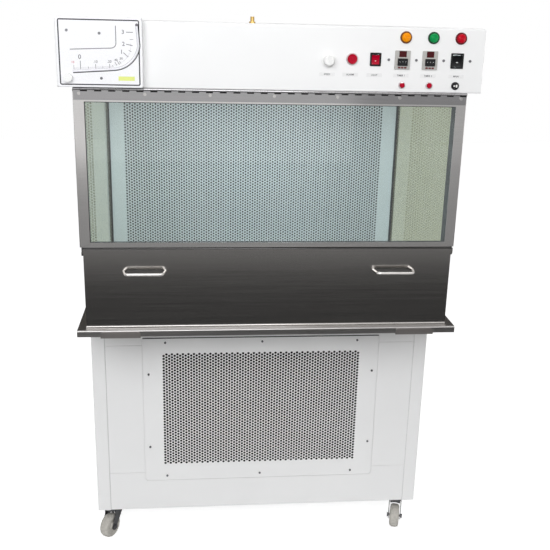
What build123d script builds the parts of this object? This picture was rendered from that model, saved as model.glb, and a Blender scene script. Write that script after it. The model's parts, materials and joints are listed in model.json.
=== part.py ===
from build123d import *
import math
import os

os.makedirs("parts", exist_ok=True)

# ---------------------------------------------------------------- driving dimensions, mm
# The origin is on the floor, under the middle of the bench. +X is the user's right,
# +Y runs from the user to the back of the bench and +Z is up.

CASTER_HEIGHT = 106
CABINET_HEIGHT = 676
WORKTOP_THICKNESS = 18
CHAMBER_HEIGHT = 630
HEADER_HEIGHT = 160

CHAMBER_WIDTH = 980
WINDOW_WIDTH = 1000
CABINET_WIDTH = 1018
WORKTOP_WIDTH = 1028
HEADER_WIDTH = 1070

OVERALL_DEPTH = 920
HANDLE_REACH = 44          # from the window's plane out to the front of the handles
LEDGE_DEPTH = 28           # worktop in front of the window's plane
CABINET_SETBACK = 200      # knee room under the worktop
CHAMBER_DEPTH = 630        # window's plane to the diffuser plate

SHEET = 2                  # folded sheet metal
FOLD = 3                   # outer radius of a fold
SLIP = 0.3                 # gap between pieces that lift apart

# ---------------------------------------------------------------- levels and planes

FRONT_Y = -OVERALL_DEPTH / 2 + HANDLE_REACH
BACK_Y = OVERALL_DEPTH / 2
CABINET_Y = FRONT_Y + CABINET_SETBACK
DIFFUSER_Y = FRONT_Y + CHAMBER_DEPTH

CABINET_Z = CASTER_HEIGHT
WORKTOP_UNDER_Z = CABINET_Z + CABINET_HEIGHT
WORKTOP_Z = WORKTOP_UNDER_Z + WORKTOP_THICKNESS
HEADER_Z = WORKTOP_Z + CHAMBER_HEIGHT
TOP_Z = HEADER_Z + HEADER_HEIGHT

CABINET_X = CABINET_WIDTH / 2
CHAMBER_X = CHAMBER_WIDTH / 2
HEADER_X = HEADER_WIDTH / 2
WORKTOP_X = WORKTOP_WIDTH / 2
WINDOW_X = WINDOW_WIDTH / 2


# ---------------------------------------------------------------- helpers


def front_plane(y):
    """A plane facing the user: its local y is up, and extruding goes towards the user."""
    return Plane(origin=(0, y, 0), x_dir=(1, 0, 0), z_dir=(0, -1, 0))


def side_plane(x):
    """A plane facing +X, with local x towards the back and local y up."""
    return Plane(origin=(x, 0, 0), x_dir=(0, 1, 0), z_dir=(1, 0, 0))


def folded_sheet(points, plane, length, radius=FOLD, thickness=SHEET):
    """Fold a sheet along points, with its thickness on the right of the path."""
    with BuildSketch(plane) as section:
        with BuildLine():
            FilletPolyline(*points, radius=radius)
            offset(amount=thickness, side=Side.RIGHT)
        make_face()
    extrude(section.sketch, amount=length)


def flat_sheet(x_range, z_range, y, thickness=SHEET, corner=0.0):
    """A flat upright sheet with its front face at y."""
    with BuildSketch(front_plane(y)) as outline:
        with Locations(((x_range[0] + x_range[1]) / 2, (z_range[0] + z_range[1]) / 2)):
            if corner:
                RectangleRounded(x_range[1] - x_range[0], z_range[1] - z_range[0], corner)
            else:
                Rectangle(x_range[1] - x_range[0], z_range[1] - z_range[0])
    extrude(outline.sketch, amount=-thickness)


def block(x_range, y_range, z_range, mode=Mode.ADD):
    """A plain block between the given limits."""
    middle = tuple((low + high) / 2 for low, high in (x_range, y_range, z_range))
    size = tuple(high - low for low, high in (x_range, y_range, z_range))
    with Locations(middle):
        Box(*size, mode=mode)


def disc(center, y, radius, depth, mode=Mode.ADD):
    """A round boss whose front face is at y and which runs back by depth."""
    with BuildSketch(front_plane(y)) as outline:
        with Locations(center):
            Circle(radius)
    extrude(outline.sketch, amount=-depth, mode=mode)


def save(builder, label):
    builder.part.label = label
    export_step(builder.part, f"parts/{label}.step")


# ---------------------------------------------------------------- base cabinet

POST_FACE = 40             # width of each side sheet's return across the front
SIDE_BACK_LIP = 25
TOP_RAIL_DROP = 118        # height of the rail above the side infill panels
BOTTOM_RAIL_HEIGHT = 130
SEAM = 0.8                 # open joint between neighbouring sheets

POST_INNER_X = CABINET_X - POST_FACE


def cabinet_side(sign):
    """One side wall, folded round the front as a post and round the back as a lip."""
    path = [
        (-POST_INNER_X, CABINET_Y + 20),
        (-POST_INNER_X, CABINET_Y),
        (-CABINET_X, CABINET_Y),
        (-CABINET_X, BACK_Y - SHEET),
        (-CABINET_X + SIDE_BACK_LIP, BACK_Y - SHEET),
    ]
    with BuildPart() as side:
        folded_sheet(path, Plane.XY.offset(CABINET_Z), CABINET_HEIGHT)
        if sign > 0:
            mirror(about=Plane.YZ, mode=Mode.REPLACE)
    return side


cabinet_side_left = cabinet_side(-1)
save(cabinet_side_left, "cabinet_side_left")
cabinet_side_right = cabinet_side(1)
save(cabinet_side_right, "cabinet_side_right")

# Opening for the intake panel, shared by the rails and the infill panels.
INTAKE_WIDTH = 716
INTAKE_HEIGHT = 480
INTAKE_BOTTOM_Z = CABINET_Z + 102
INTAKE_TOP_Z = INTAKE_BOTTOM_Z + INTAKE_HEIGHT
INTAKE_GAP_SIDE = 2
INTAKE_GAP_TOP = 3.5
INTAKE_GAP_BOTTOM = 1
INTAKE_CORNER = 9

OPENING_X = INTAKE_WIDTH / 2 + INTAKE_GAP_SIDE
OPENING_Z0 = INTAKE_BOTTOM_Z - INTAKE_GAP_BOTTOM
OPENING_Z1 = INTAKE_TOP_Z + INTAKE_GAP_TOP
RAIL_X = POST_INNER_X - SEAM
TOP_RAIL_Z = WORKTOP_UNDER_Z - TOP_RAIL_DROP
BOTTOM_RAIL_Z = CABINET_Z + BOTTOM_RAIL_HEIGHT
RAIL_FLANGE = 20


def intake_opening():
    """Cut the rounded opening for the intake panel out of the sheet being made."""
    with BuildSketch(front_plane(CABINET_Y)) as hole:
        with Locations((0, (OPENING_Z0 + OPENING_Z1) / 2)):
            RectangleRounded(2 * OPENING_X, OPENING_Z1 - OPENING_Z0, INTAKE_CORNER + INTAKE_GAP_SIDE)
    extrude(hole.sketch, amount=-SHEET, mode=Mode.SUBTRACT)


with BuildPart() as cabinet_top_rail:
    folded_sheet(
        [
            (CABINET_Y + RAIL_FLANGE, WORKTOP_UNDER_Z),
            (CABINET_Y, WORKTOP_UNDER_Z),
            (CABINET_Y, TOP_RAIL_Z),
        ][::-1],
        side_plane(-RAIL_X),
        2 * RAIL_X,
    )
    intake_opening()
save(cabinet_top_rail, "cabinet_top_rail")

with BuildPart() as cabinet_bottom_rail:
    folded_sheet(
        [
            (CABINET_Y + RAIL_FLANGE, CABINET_Z),
            (CABINET_Y, CABINET_Z),
            (CABINET_Y, BOTTOM_RAIL_Z),
        ],
        side_plane(-RAIL_X),
        2 * RAIL_X,
    )
    intake_opening()
save(cabinet_bottom_rail, "cabinet_bottom_rail")

with BuildPart() as infill_panels:
    for edge_in, edge_out in ((-RAIL_X, -OPENING_X), (OPENING_X, RAIL_X)):
        flat_sheet((edge_in, edge_out), (BOTTOM_RAIL_Z + SEAM, TOP_RAIL_Z - SEAM), CABINET_Y)
save(infill_panels, "infill_panels")

with BuildPart() as cabinet_back_panel:
    flat_sheet((-CABINET_X + 1, CABINET_X - 1), (CABINET_Z + 1, WORKTOP_UNDER_Z - 1), BACK_Y - SHEET)
    with BuildSketch(front_plane(BACK_Y - SHEET)) as vents:
        with Locations((0, CABINET_Z + 420)):
            with GridLocations(1, 26, 1, 6):
                SlotOverall(300, 9)
    extrude(vents.sketch, amount=-SHEET, mode=Mode.SUBTRACT)
save(cabinet_back_panel, "cabinet_back_panel")

# ---------------------------------------------------------------- casters

WHEEL_RADIUS = 37.5
WHEEL_WIDTH = 32
CASTER_TRAIL = 30
CASTER_PLATE = (94, 64)
CASTER_PLATE_THICKNESS = 3.5
CASTER_BOLT_SPACING = (72, 44)
CASTER_X = 462
CASTER_FRONT_Y = CABINET_Y + 49
CASTER_BACK_Y = BACK_Y - 75
AXLE_RADIUS = 4
KINGPIN_RADIUS = 6
FORK_LEG = 2.5
FORK_GAP = WHEEL_WIDTH + 4
FORK_TOP_Z = CASTER_HEIGHT - CASTER_PLATE_THICKNESS - 6

# Heading of each wheel: degrees anticlockwise, seen from above, from straight ahead (-Y).
CASTERS = {
    "front_left": (-CASTER_X, CASTER_FRONT_Y, -31),
    "front_right": (CASTER_X, CASTER_FRONT_Y, -16),
    "back_left": (-CASTER_X, CASTER_BACK_Y, 195),
    "back_right": (CASTER_X, CASTER_BACK_Y, 168),
}

BASE_PAN = 3
PAN_EDGE = 24
PAN_FRONT_Y = CABINET_Y + 21
CASTER_PAD = (88, 56)
PEDESTAL_WIDTH = 150

MOTOR_X = -215
BLOWER_Y = 230
BLOWER_Z = 400
MOTOR_RADIUS = 62
MOTOR_LENGTH = 150

with BuildPart() as base_pan:
    block(
        (-CABINET_X + 3, CABINET_X - 3),
        (PAN_FRONT_Y, BACK_Y - 5),
        (CABINET_Z + SHEET, CABINET_Z + SHEET + PAN_EDGE),
    )
    block(
        (-CABINET_X + 3 + BASE_PAN, CABINET_X - 3 - BASE_PAN),
        (PAN_FRONT_Y + BASE_PAN, BACK_Y - 5 - BASE_PAN),
        (CABINET_Z + SHEET + BASE_PAN, CABINET_Z + SHEET + PAN_EDGE),
        Mode.SUBTRACT,
    )
    # pads that bring the caster plates level with the cabinet's lower edge
    for pad_x, pad_y, heading in CASTERS.values():
        block(
            (pad_x - CASTER_PAD[0] / 2, pad_x + CASTER_PAD[0] / 2),
            (pad_y - CASTER_PAD[1] / 2, pad_y + CASTER_PAD[1] / 2),
            (CABINET_Z, CABINET_Z + SHEET),
        )
        with Locations((pad_x, pad_y, CABINET_Z)):
            with GridLocations(CASTER_BOLT_SPACING[0], CASTER_BOLT_SPACING[1], 2, 2):
                Cylinder(4.2, 2 * (SHEET + BASE_PAN), mode=Mode.SUBTRACT)
    # the pressed pedestal that carries the motor
    with BuildSketch(side_plane(MOTOR_X - PEDESTAL_WIDTH / 2)) as pedestal:
        with BuildLine():
            FilletPolyline(
                (BLOWER_Y - 95, CABINET_Z + SHEET + BASE_PAN),
                (BLOWER_Y - 70, BLOWER_Z - MOTOR_RADIUS - 8),
                (BLOWER_Y + 70, BLOWER_Z - MOTOR_RADIUS - 8),
                (BLOWER_Y + 95, CABINET_Z + SHEET + BASE_PAN),
                radius=8,
            )
            offset(amount=BASE_PAN, side=Side.RIGHT)
        make_face()
    extrude(pedestal.sketch, amount=PEDESTAL_WIDTH)
save(base_pan, "base_pan")

with BuildPart() as caster_plates:
    for plate_x, plate_y, heading in CASTERS.values():
        with BuildSketch(Plane.XY.offset(CASTER_HEIGHT)) as plate_outline:
            with Locations((plate_x, plate_y)):
                RectangleRounded(CASTER_PLATE[0], CASTER_PLATE[1], 8)
            with Locations((plate_x, plate_y)):
                with GridLocations(CASTER_BOLT_SPACING[0], CASTER_BOLT_SPACING[1], 2, 2):
                    Circle(4.2, mode=Mode.SUBTRACT)
        extrude(plate_outline.sketch, amount=-CASTER_PLATE_THICKNESS)
        # the kingpin that the fork turns on, with its lower head
        with Locations((plate_x, plate_y, CASTER_HEIGHT - CASTER_PLATE_THICKNESS)):
            Cylinder(KINGPIN_RADIUS, 14, align=(Align.CENTER, Align.CENTER, Align.MAX))
        with Locations((plate_x, plate_y, CASTER_HEIGHT - CASTER_PLATE_THICKNESS - 11)):
            Cylinder(9, 3, align=(Align.CENTER, Align.CENTER, Align.MAX))
save(caster_plates, "caster_plates")


def caster_fork():
    """A pressed fork standing at the swivel's axis, with its wheel ahead along -Y."""
    leg_outer = FORK_GAP / 2 + FORK_LEG
    crown_z = FORK_TOP_Z
    with BuildPart() as fork:
        # the crown and both legs are one bent strip, cut to the legs' side profile
        with BuildSketch(Plane(origin=(0, 40, 0), x_dir=(1, 0, 0), z_dir=(0, -1, 0))) as strip:
            with BuildLine():
                FilletPolyline(
                    (-leg_outer, WHEEL_RADIUS - 14),
                    (-leg_outer, crown_z),
                    (leg_outer, crown_z),
                    (leg_outer, WHEEL_RADIUS - 14),
                    radius=6,
                )
                offset(amount=FORK_LEG, side=Side.RIGHT)
            make_face()
        extrude(strip.sketch, amount=90)
        with BuildSketch(side_plane(-leg_outer - 1)) as profile:
            with BuildLine():
                Polyline(
                    (26, crown_z + 1),
                    (26, crown_z - 9),
                    (8, crown_z - 22),
                    (-CASTER_TRAIL + 12, WHEEL_RADIUS + 2),
                )
                ThreePointArc(
                    (-CASTER_TRAIL + 12, WHEEL_RADIUS + 2),
                    (-CASTER_TRAIL, WHEEL_RADIUS - 12),
                    (-CASTER_TRAIL - 12, WHEEL_RADIUS + 2),
                )
                Polyline(
                    (-CASTER_TRAIL - 12, WHEEL_RADIUS + 2),
                    (-27, crown_z - 24),
                    (-27, crown_z + 1),
                    (26, crown_z + 1),
                )
            make_face()
        extrude(profile.sketch, amount=2 * leg_outer + 2, mode=Mode.INTERSECT)
        # raised ball race on the crown
        with Locations((0, 0, crown_z)):
            Cone(24, 17, 5.2, align=(Align.CENTER, Align.CENTER, Align.MIN))
        # bore that runs on the kingpin
        with Locations((0, 0, crown_z)):
            Cylinder(KINGPIN_RADIUS + 0.1, 20, mode=Mode.SUBTRACT)
        # axle bolt with its head and nut
        with BuildSketch(side_plane(-leg_outer - 4)) as bolt:
            with Locations((-CASTER_TRAIL, WHEEL_RADIUS)):
                RegularPolygon(6.5, 6)
        extrude(bolt.sketch, amount=4)
        with BuildSketch(side_plane(-leg_outer)) as shank:
            with Locations((-CASTER_TRAIL, WHEEL_RADIUS)):
                Circle(AXLE_RADIUS)
        extrude(shank.sketch, amount=2 * leg_outer)
        with BuildSketch(side_plane(leg_outer)) as nut:
            with Locations((-CASTER_TRAIL, WHEEL_RADIUS)):
                RegularPolygon(6.5, 6)
        extrude(nut.sketch, amount=5)
    return fork.part


def caster_wheel():
    """A crowned rubber tyre on a stepped hub, turned about its axle."""
    half = WHEEL_WIDTH / 2
    with BuildPart() as wheel:
        with BuildSketch(Plane.XY) as section:
            with BuildLine():
                Polyline(
                    (-half, AXLE_RADIUS + 0.05),
                    (-half, 12),
                    (-half + 4, 14),
                    (-half + 4, 25),
                    (-half + 1, 28),
                )
                Polyline(
                    (-half + 1, 28),
                    (-half + 3, 34.5),
                    (-half + 9, WHEEL_RADIUS),
                    (half - 9, WHEEL_RADIUS),
                    (half - 3, 34.5),
                    (half - 1, 28),
                )
                Polyline(
                    (half - 1, 28),
                    (half - 4, 25),
                    (half - 4, 14),
                    (half, 12),
                    (half, AXLE_RADIUS + 0.05),
                    (-half, AXLE_RADIUS + 0.05),
                )
            make_face()
        revolve(section.sketch, axis=Axis.X)
    return wheel.part


fork_shape = caster_fork()
wheel_shape = caster_wheel()
for corner, (swivel_x, swivel_y, heading) in CASTERS.items():
    swivel = Location((swivel_x, swivel_y, 0), (0, 0, heading))
    fork = swivel * fork_shape
    fork.label = f"caster_fork_{corner}"
    export_step(fork, f"parts/caster_fork_{corner}.step")
    wheel = swivel * Location((0, -CASTER_TRAIL, WHEEL_RADIUS)) * wheel_shape
    wheel.label = f"caster_wheel_{corner}"
    export_step(wheel, f"parts/caster_wheel_{corner}.step")

# ---------------------------------------------------------------- air intake

HOLE_SIDES = 8             # each perforation is cut as an octagon
INTAKE_FIELD = (604, 372)
INTAKE_FIELD_Z = INTAKE_BOTTOM_Z + 243
INTAKE_COLUMNS = 15
INTAKE_ROWS = 8
INTAKE_SCREW_X = 291
INTAKE_SCREW_SIDE_X = 342
INTAKE_SCREW_Z = 224
INTAKE_SCREW_SIDE_Z = 122
FRAME_LAP = 14
FRAME_DEPTH = 26


def staggered_holes(width, height, columns, rows, hole_share):
    """Octagonal holes in upright columns, every second column half a step lower."""
    step_x = width / (columns - 1)
    step_z = height / (rows - 0.5)
    radius = step_z * hole_share / 2
    for column in range(columns):
        drop = step_z / 4 if column % 2 else -step_z / 4
        x = -width / 2 + column * step_x
        with Locations((x, drop)):
            with GridLocations(1, step_z, 1, rows):
                RegularPolygon(radius, HOLE_SIDES, rotation=22.5)


INTAKE_SCREWS = [
    (x, z)
    for x in (-INTAKE_SCREW_X, 0, INTAKE_SCREW_X)
    for z in (-INTAKE_SCREW_Z, INTAKE_SCREW_Z)
]
INTAKE_SCREWS += [
    (x, z)
    for x in (-INTAKE_SCREW_SIDE_X, INTAKE_SCREW_SIDE_X)
    for z in (-INTAKE_SCREW_SIDE_Z, INTAKE_SCREW_SIDE_Z)
]
INTAKE_MIDDLE_Z = INTAKE_BOTTOM_Z + INTAKE_HEIGHT / 2

with BuildPart() as intake_panel:
    with BuildSketch(front_plane(CABINET_Y)) as intake_outline:
        with Locations((0, INTAKE_MIDDLE_Z)):
            RectangleRounded(INTAKE_WIDTH, INTAKE_HEIGHT, INTAKE_CORNER)
    extrude(intake_outline.sketch, amount=-SHEET)
    with BuildSketch(front_plane(CABINET_Y)) as intake_field:
        with Locations((0, INTAKE_FIELD_Z)):
            staggered_holes(*INTAKE_FIELD, INTAKE_COLUMNS, INTAKE_ROWS, 0.62)
    extrude(intake_field.sketch, amount=-SHEET, mode=Mode.SUBTRACT)
    with BuildSketch(front_plane(CABINET_Y)) as intake_screw_holes:
        with Locations((0, INTAKE_MIDDLE_Z)):
            with Locations(*INTAKE_SCREWS):
                Circle(2.8)
    extrude(intake_screw_holes.sketch, amount=-SHEET, mode=Mode.SUBTRACT)
save(intake_panel, "intake_panel")

with BuildPart() as intake_frame:
    with BuildSketch(front_plane(CABINET_Y + SHEET)) as frame_face:
        with Locations((0, (OPENING_Z0 + OPENING_Z1) / 2)):
            Rectangle(2 * (OPENING_X + FRAME_LAP), OPENING_Z1 - OPENING_Z0 + 2 * FRAME_LAP)
            Rectangle(INTAKE_WIDTH - 60, INTAKE_HEIGHT - 56, mode=Mode.SUBTRACT)
    extrude(frame_face.sketch, amount=-SHEET)
    with BuildSketch(front_plane(CABINET_Y + 2 * SHEET)) as frame_tray:
        with Locations((0, (OPENING_Z0 + OPENING_Z1) / 2)):
            Rectangle(INTAKE_WIDTH - 12, INTAKE_HEIGHT - 12)
            Rectangle(INTAKE_WIDTH - 12 - 2 * SHEET, INTAKE_HEIGHT - 12 - 2 * SHEET, mode=Mode.SUBTRACT)
    extrude(frame_tray.sketch, amount=-FRAME_DEPTH)
    with BuildSketch(front_plane(CABINET_Y + SHEET)) as frame_screw_holes:
        with Locations((0, INTAKE_MIDDLE_Z)):
            with Locations(*INTAKE_SCREWS):
                Circle(2.6)
    extrude(frame_screw_holes.sketch, amount=-SHEET, mode=Mode.SUBTRACT)
save(intake_frame, "intake_frame")

with BuildPart() as prefilter:
    with BuildSketch(front_plane(CABINET_Y + 2 * SHEET)) as pad_outline:
        with Locations((0, (OPENING_Z0 + OPENING_Z1) / 2)):
            Rectangle(INTAKE_WIDTH - 18, INTAKE_HEIGHT - 18)
    extrude(pad_outline.sketch, amount=-20)
save(prefilter, "prefilter")

# ---------------------------------------------------------------- blower

SCROLL_STEP = 20           # growth of the scroll's radius over each quarter turn
SCROLL_RADIUS = 160        # radius of the quarter next to the tongue
SCROLL_WIDTH = 220
OUTLET_HEIGHT_Z = WORKTOP_UNDER_Z + WORKTOP_THICKNESS - SHEET
WHEEL_OUTER = 122
WHEEL_INNER = 92
WHEEL_LENGTH = 170
BLADES = 18
SHAFT_RADIUS = 9

half_step = SCROLL_STEP / 2
quarter_d = (BLOWER_Y - half_step, BLOWER_Z + half_step)
quarter_a = (BLOWER_Y - half_step, BLOWER_Z - half_step)
quarter_b = (BLOWER_Y + half_step, BLOWER_Z - half_step)
quarter_c = (BLOWER_Y + half_step, BLOWER_Z + half_step)
tongue_angle = 48
tongue_radius = SCROLL_RADIUS - SCROLL_STEP
outlet_back_y = quarter_c[0] + SCROLL_RADIUS + 2 * SCROLL_STEP
outlet_front_y = quarter_d[0] + tongue_radius * math.cos(math.radians(tongue_angle))
tongue_z = quarter_d[1] + tongue_radius * math.sin(math.radians(tongue_angle))

with BuildPart() as blower_housing:
    with BuildSketch(side_plane(-SCROLL_WIDTH / 2)) as scroll:
        with BuildLine():
            CenterArc(quarter_d, tongue_radius, tongue_angle, 90 - tongue_angle)
            CenterArc(quarter_a, SCROLL_RADIUS, 90, 90)
            CenterArc(quarter_b, SCROLL_RADIUS + SCROLL_STEP, 180, 90)
            CenterArc(quarter_c, SCROLL_RADIUS + 2 * SCROLL_STEP, 270, 90)
            Polyline(
                (outlet_back_y, quarter_c[1]),
                (outlet_back_y, OUTLET_HEIGHT_Z),
                (outlet_front_y, OUTLET_HEIGHT_Z),
                (outlet_front_y, tongue_z),
            )
        make_face()
    extrude(scroll.sketch, amount=SCROLL_WIDTH)
    mouth = blower_housing.faces().sort_by(Axis.Z)[-1]
    offset(amount=-SHEET, openings=mouth)
    with BuildSketch(side_plane(-SCROLL_WIDTH / 2)) as inlet:
        with Locations((BLOWER_Y, BLOWER_Z)):
            Circle(WHEEL_INNER)
    extrude(inlet.sketch, amount=SCROLL_WIDTH, mode=Mode.SUBTRACT)
    # mounting flange round the mouth, screwed up against the bench top
    with BuildSketch(Plane.XY.offset(OUTLET_HEIGHT_Z)) as flange:
        with Locations((0, (outlet_back_y + outlet_front_y) / 2)):
            Rectangle(SCROLL_WIDTH + 24, outlet_back_y - outlet_front_y + 24)
            Rectangle(
                SCROLL_WIDTH - 2 * SHEET,
                outlet_back_y - outlet_front_y - 2 * SHEET,
                mode=Mode.SUBTRACT,
            )
    extrude(flange.sketch, amount=-3)
save(blower_housing, "blower_housing")

with BuildSketch() as blade:
    with BuildLine():
        ThreePointArc((WHEEL_INNER + 2, 0), (WHEEL_INNER + 15, 7), (WHEEL_OUTER - 2, 12))
        ThreePointArc((WHEEL_OUTER - 2, 12), (WHEEL_INNER + 13, 10), (WHEEL_INNER + 2, 3))
        Line((WHEEL_INNER + 2, 3), (WHEEL_INNER + 2, 0))
    make_face()

with BuildPart() as blower_wheel:
    with BuildSketch(side_plane(-WHEEL_LENGTH / 2)) as ring_end:
        with Locations((BLOWER_Y, BLOWER_Z)):
            Circle(WHEEL_OUTER)
            Circle(WHEEL_INNER, mode=Mode.SUBTRACT)
    extrude(ring_end.sketch, amount=4)
    with BuildSketch(side_plane(WHEEL_LENGTH / 2 - 4)) as back_disc:
        with Locations((BLOWER_Y, BLOWER_Z)):
            Circle(WHEEL_OUTER)
    extrude(back_disc.sketch, amount=4)
    # forward-curved blades between the end ring and the back disc
    with BuildSketch(side_plane(-WHEEL_LENGTH / 2)) as blade_ring:
        with Locations((BLOWER_Y, BLOWER_Z)):
            with PolarLocations(0, BLADES):
                add(blade.sketch)
    extrude(blade_ring.sketch, amount=WHEEL_LENGTH)
    # hub on the shaft
    with BuildSketch(side_plane(MOTOR_X + MOTOR_LENGTH / 2 - 60)) as shaft_section:
        with Locations((BLOWER_Y, BLOWER_Z)):
            Circle(SHAFT_RADIUS)
    extrude(shaft_section.sketch, amount=WHEEL_LENGTH / 2 + 12 - MOTOR_X - MOTOR_LENGTH / 2 + 60)
    with BuildSketch(side_plane(WHEEL_LENGTH / 2 - 34)) as hub:
        with Locations((BLOWER_Y, BLOWER_Z)):
            Circle(24)
    extrude(hub.sketch, amount=40)
save(blower_wheel, "blower_wheel")

with BuildPart() as motor:
    with BuildSketch(side_plane(MOTOR_X - MOTOR_LENGTH / 2)) as motor_body:
        with Locations((BLOWER_Y, BLOWER_Z)):
            Circle(MOTOR_RADIUS)
    extrude(motor_body.sketch, amount=MOTOR_LENGTH)
    chamfer(motor.edges().filter_by(GeomType.CIRCLE), length=8)
    # foot, standing on the pedestal
    block(
        (MOTOR_X - 50, MOTOR_X + 50),
        (BLOWER_Y - 52, BLOWER_Y + 52),
        (BLOWER_Z - MOTOR_RADIUS - 8, BLOWER_Z - MOTOR_RADIUS + 14),
    )
    # terminal box
    block(
        (MOTOR_X - 34, MOTOR_X + 34),
        (BLOWER_Y - 30, BLOWER_Y + 30),
        (BLOWER_Z + 40, BLOWER_Z + MOTOR_RADIUS + 26),
    )
    # bore that the shaft runs in
    with BuildSketch(side_plane(MOTOR_X + MOTOR_LENGTH / 2)) as motor_bore:
        with Locations((BLOWER_Y, BLOWER_Z)):
            Circle(SHAFT_RADIUS + 0.05)
    extrude(motor_bore.sketch, amount=-64, mode=Mode.SUBTRACT)
save(motor, "motor")

# ---------------------------------------------------------------- worktop

APRON_RETURN = 16
NOSE = 4
DUCT_X = SCROLL_WIDTH / 2 - SHEET
DUCT_Y = (outlet_front_y + SHEET, outlet_back_y - SHEET)

with BuildPart() as worktop:
    block(
        (-WORKTOP_X, WORKTOP_X),
        (FRONT_Y - LEDGE_DEPTH, BACK_Y),
        (WORKTOP_UNDER_Z, WORKTOP_Z),
    )
    front_edges = worktop.edges().filter_by(Axis.X).group_by(Axis.Y)[0]
    fillet(front_edges.sort_by(Axis.Z)[-1], radius=NOSE)
    block(
        (-WORKTOP_X + SHEET, WORKTOP_X - SHEET),
        (FRONT_Y - LEDGE_DEPTH + SHEET, BACK_Y - SHEET),
        (WORKTOP_UNDER_Z + SHEET, WORKTOP_Z - SHEET),
        Mode.SUBTRACT,
    )
    # the apron's inturned edges leave the underside open
    block(
        (-WORKTOP_X + APRON_RETURN, WORKTOP_X - APRON_RETURN),
        (FRONT_Y - LEDGE_DEPTH + APRON_RETURN, BACK_Y - APRON_RETURN),
        (WORKTOP_UNDER_Z, WORKTOP_UNDER_Z + SHEET),
        Mode.SUBTRACT,
    )
    block((-DUCT_X, DUCT_X), DUCT_Y, (WORKTOP_Z - SHEET, WORKTOP_Z), Mode.SUBTRACT)
save(worktop, "worktop")

BRACKET_X = 400
BRACKET_WIDTH = 105
BRACKET_TAB = 16
BRACKET_SHEET = 3

with BuildPart() as worktop_brackets:
    for bracket_x in (-BRACKET_X, BRACKET_X):
        # a strip under the worktop, turned up over the apron and down the cabinet's front
        with BuildSketch(side_plane(bracket_x - BRACKET_WIDTH / 2)) as bracket_section:
            with BuildLine():
                Polyline(
                    (FRONT_Y - LEDGE_DEPTH, WORKTOP_UNDER_Z + BRACKET_TAB - 2),
                    (FRONT_Y - LEDGE_DEPTH, WORKTOP_UNDER_Z),
                    (CABINET_Y, WORKTOP_UNDER_Z),
                    (CABINET_Y, WORKTOP_UNDER_Z - 60),
                    (CABINET_Y - BRACKET_SHEET, WORKTOP_UNDER_Z - 60),
                    (CABINET_Y - BRACKET_SHEET, WORKTOP_UNDER_Z - BRACKET_SHEET),
                    (FRONT_Y - LEDGE_DEPTH - BRACKET_SHEET, WORKTOP_UNDER_Z - BRACKET_SHEET),
                    (FRONT_Y - LEDGE_DEPTH - BRACKET_SHEET, WORKTOP_UNDER_Z + BRACKET_TAB - 2),
                    close=True,
                )
            make_face()
        extrude(bracket_section.sketch, amount=BRACKET_WIDTH)
    # round the upper corners of the front tabs
    tab_corners = worktop_brackets.edges().filter_by(Axis.Y).group_by(Axis.Z)[-1]
    fillet(tab_corners, radius=8)
save(worktop_brackets, "worktop_brackets")

# ---------------------------------------------------------------- work chamber

GLASS = 6
GLASS_X = CHAMBER_X - 12
POST_WIDTH = 14
POST_FRONT_Y = FRONT_Y + 13
POST_DEPTH = 32
SILL_X = 496
SILL_Z = WORKTOP_Z + 220           # top of the sill, just under the closed window
SILL_HEIGHT = 20
SILL_FRONT_Y = FRONT_Y + 0.6
SILL_BACK_Y = POST_FRONT_Y + 12
HOOK_LIP_Y = FRONT_Y - 4
WINDOW_BOTTOM_Z = SILL_Z + 1.2
HEAD_RAIL_HEIGHT = 20

with BuildPart() as front_frame:
    for side in (-1, 1):
        inner_x = side * (CHAMBER_X - POST_WIDTH)
        outer_x = side * CHAMBER_X
        block(
            (min(inner_x, outer_x), max(inner_x, outer_x)),
            (POST_FRONT_Y, POST_FRONT_Y + POST_DEPTH),
            (WORKTOP_Z, HEADER_Z),
        )
        # slot that takes the front edge of the side glass
        glass_low = side * GLASS_X
        glass_high = side * (GLASS_X + GLASS)
        block(
            (min(glass_low, glass_high) - 0.2, max(glass_low, glass_high) + 0.2),
            (POST_FRONT_Y + POST_DEPTH - 12, POST_FRONT_Y + POST_DEPTH),
            (WORKTOP_Z, HEADER_Z),
            Mode.SUBTRACT,
        )
    # sill: a channel with a J lip in front for the panel's hooks and an upstand behind
    with BuildSketch(side_plane(-SILL_X)) as sill_section:
        with BuildLine():
            Polyline(
                (HOOK_LIP_Y, SILL_Z - 10),
                (HOOK_LIP_Y, SILL_Z - SILL_HEIGHT),
                (SILL_BACK_Y, SILL_Z - SILL_HEIGHT),
                (SILL_BACK_Y, SILL_Z - SILL_HEIGHT + SHEET),
                (SILL_FRONT_Y + SHEET, SILL_Z - SILL_HEIGHT + SHEET),
                (SILL_FRONT_Y + SHEET, SILL_Z - SHEET),
                (POST_FRONT_Y, SILL_Z - SHEET),
                (POST_FRONT_Y + SHEET, SILL_Z - SHEET),
                (POST_FRONT_Y + SHEET, SILL_Z + 9),
                (POST_FRONT_Y, SILL_Z + 9),
                (POST_FRONT_Y, SILL_Z),
                (SILL_FRONT_Y, SILL_Z),
                (SILL_FRONT_Y, SILL_Z - SILL_HEIGHT + SHEET),
                (HOOK_LIP_Y + 1.5, SILL_Z - SILL_HEIGHT + SHEET),
                (HOOK_LIP_Y + 1.5, SILL_Z - 10),
                close=True,
            )
        make_face()
    extrude(sill_section.sketch, amount=2 * SILL_X)
    block(
        (-CHAMBER_X, CHAMBER_X),
        (POST_FRONT_Y, POST_FRONT_Y + 20),
        (HEADER_Z - HEAD_RAIL_HEIGHT, HEADER_Z),
    )
save(front_frame, "front_frame")

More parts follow.
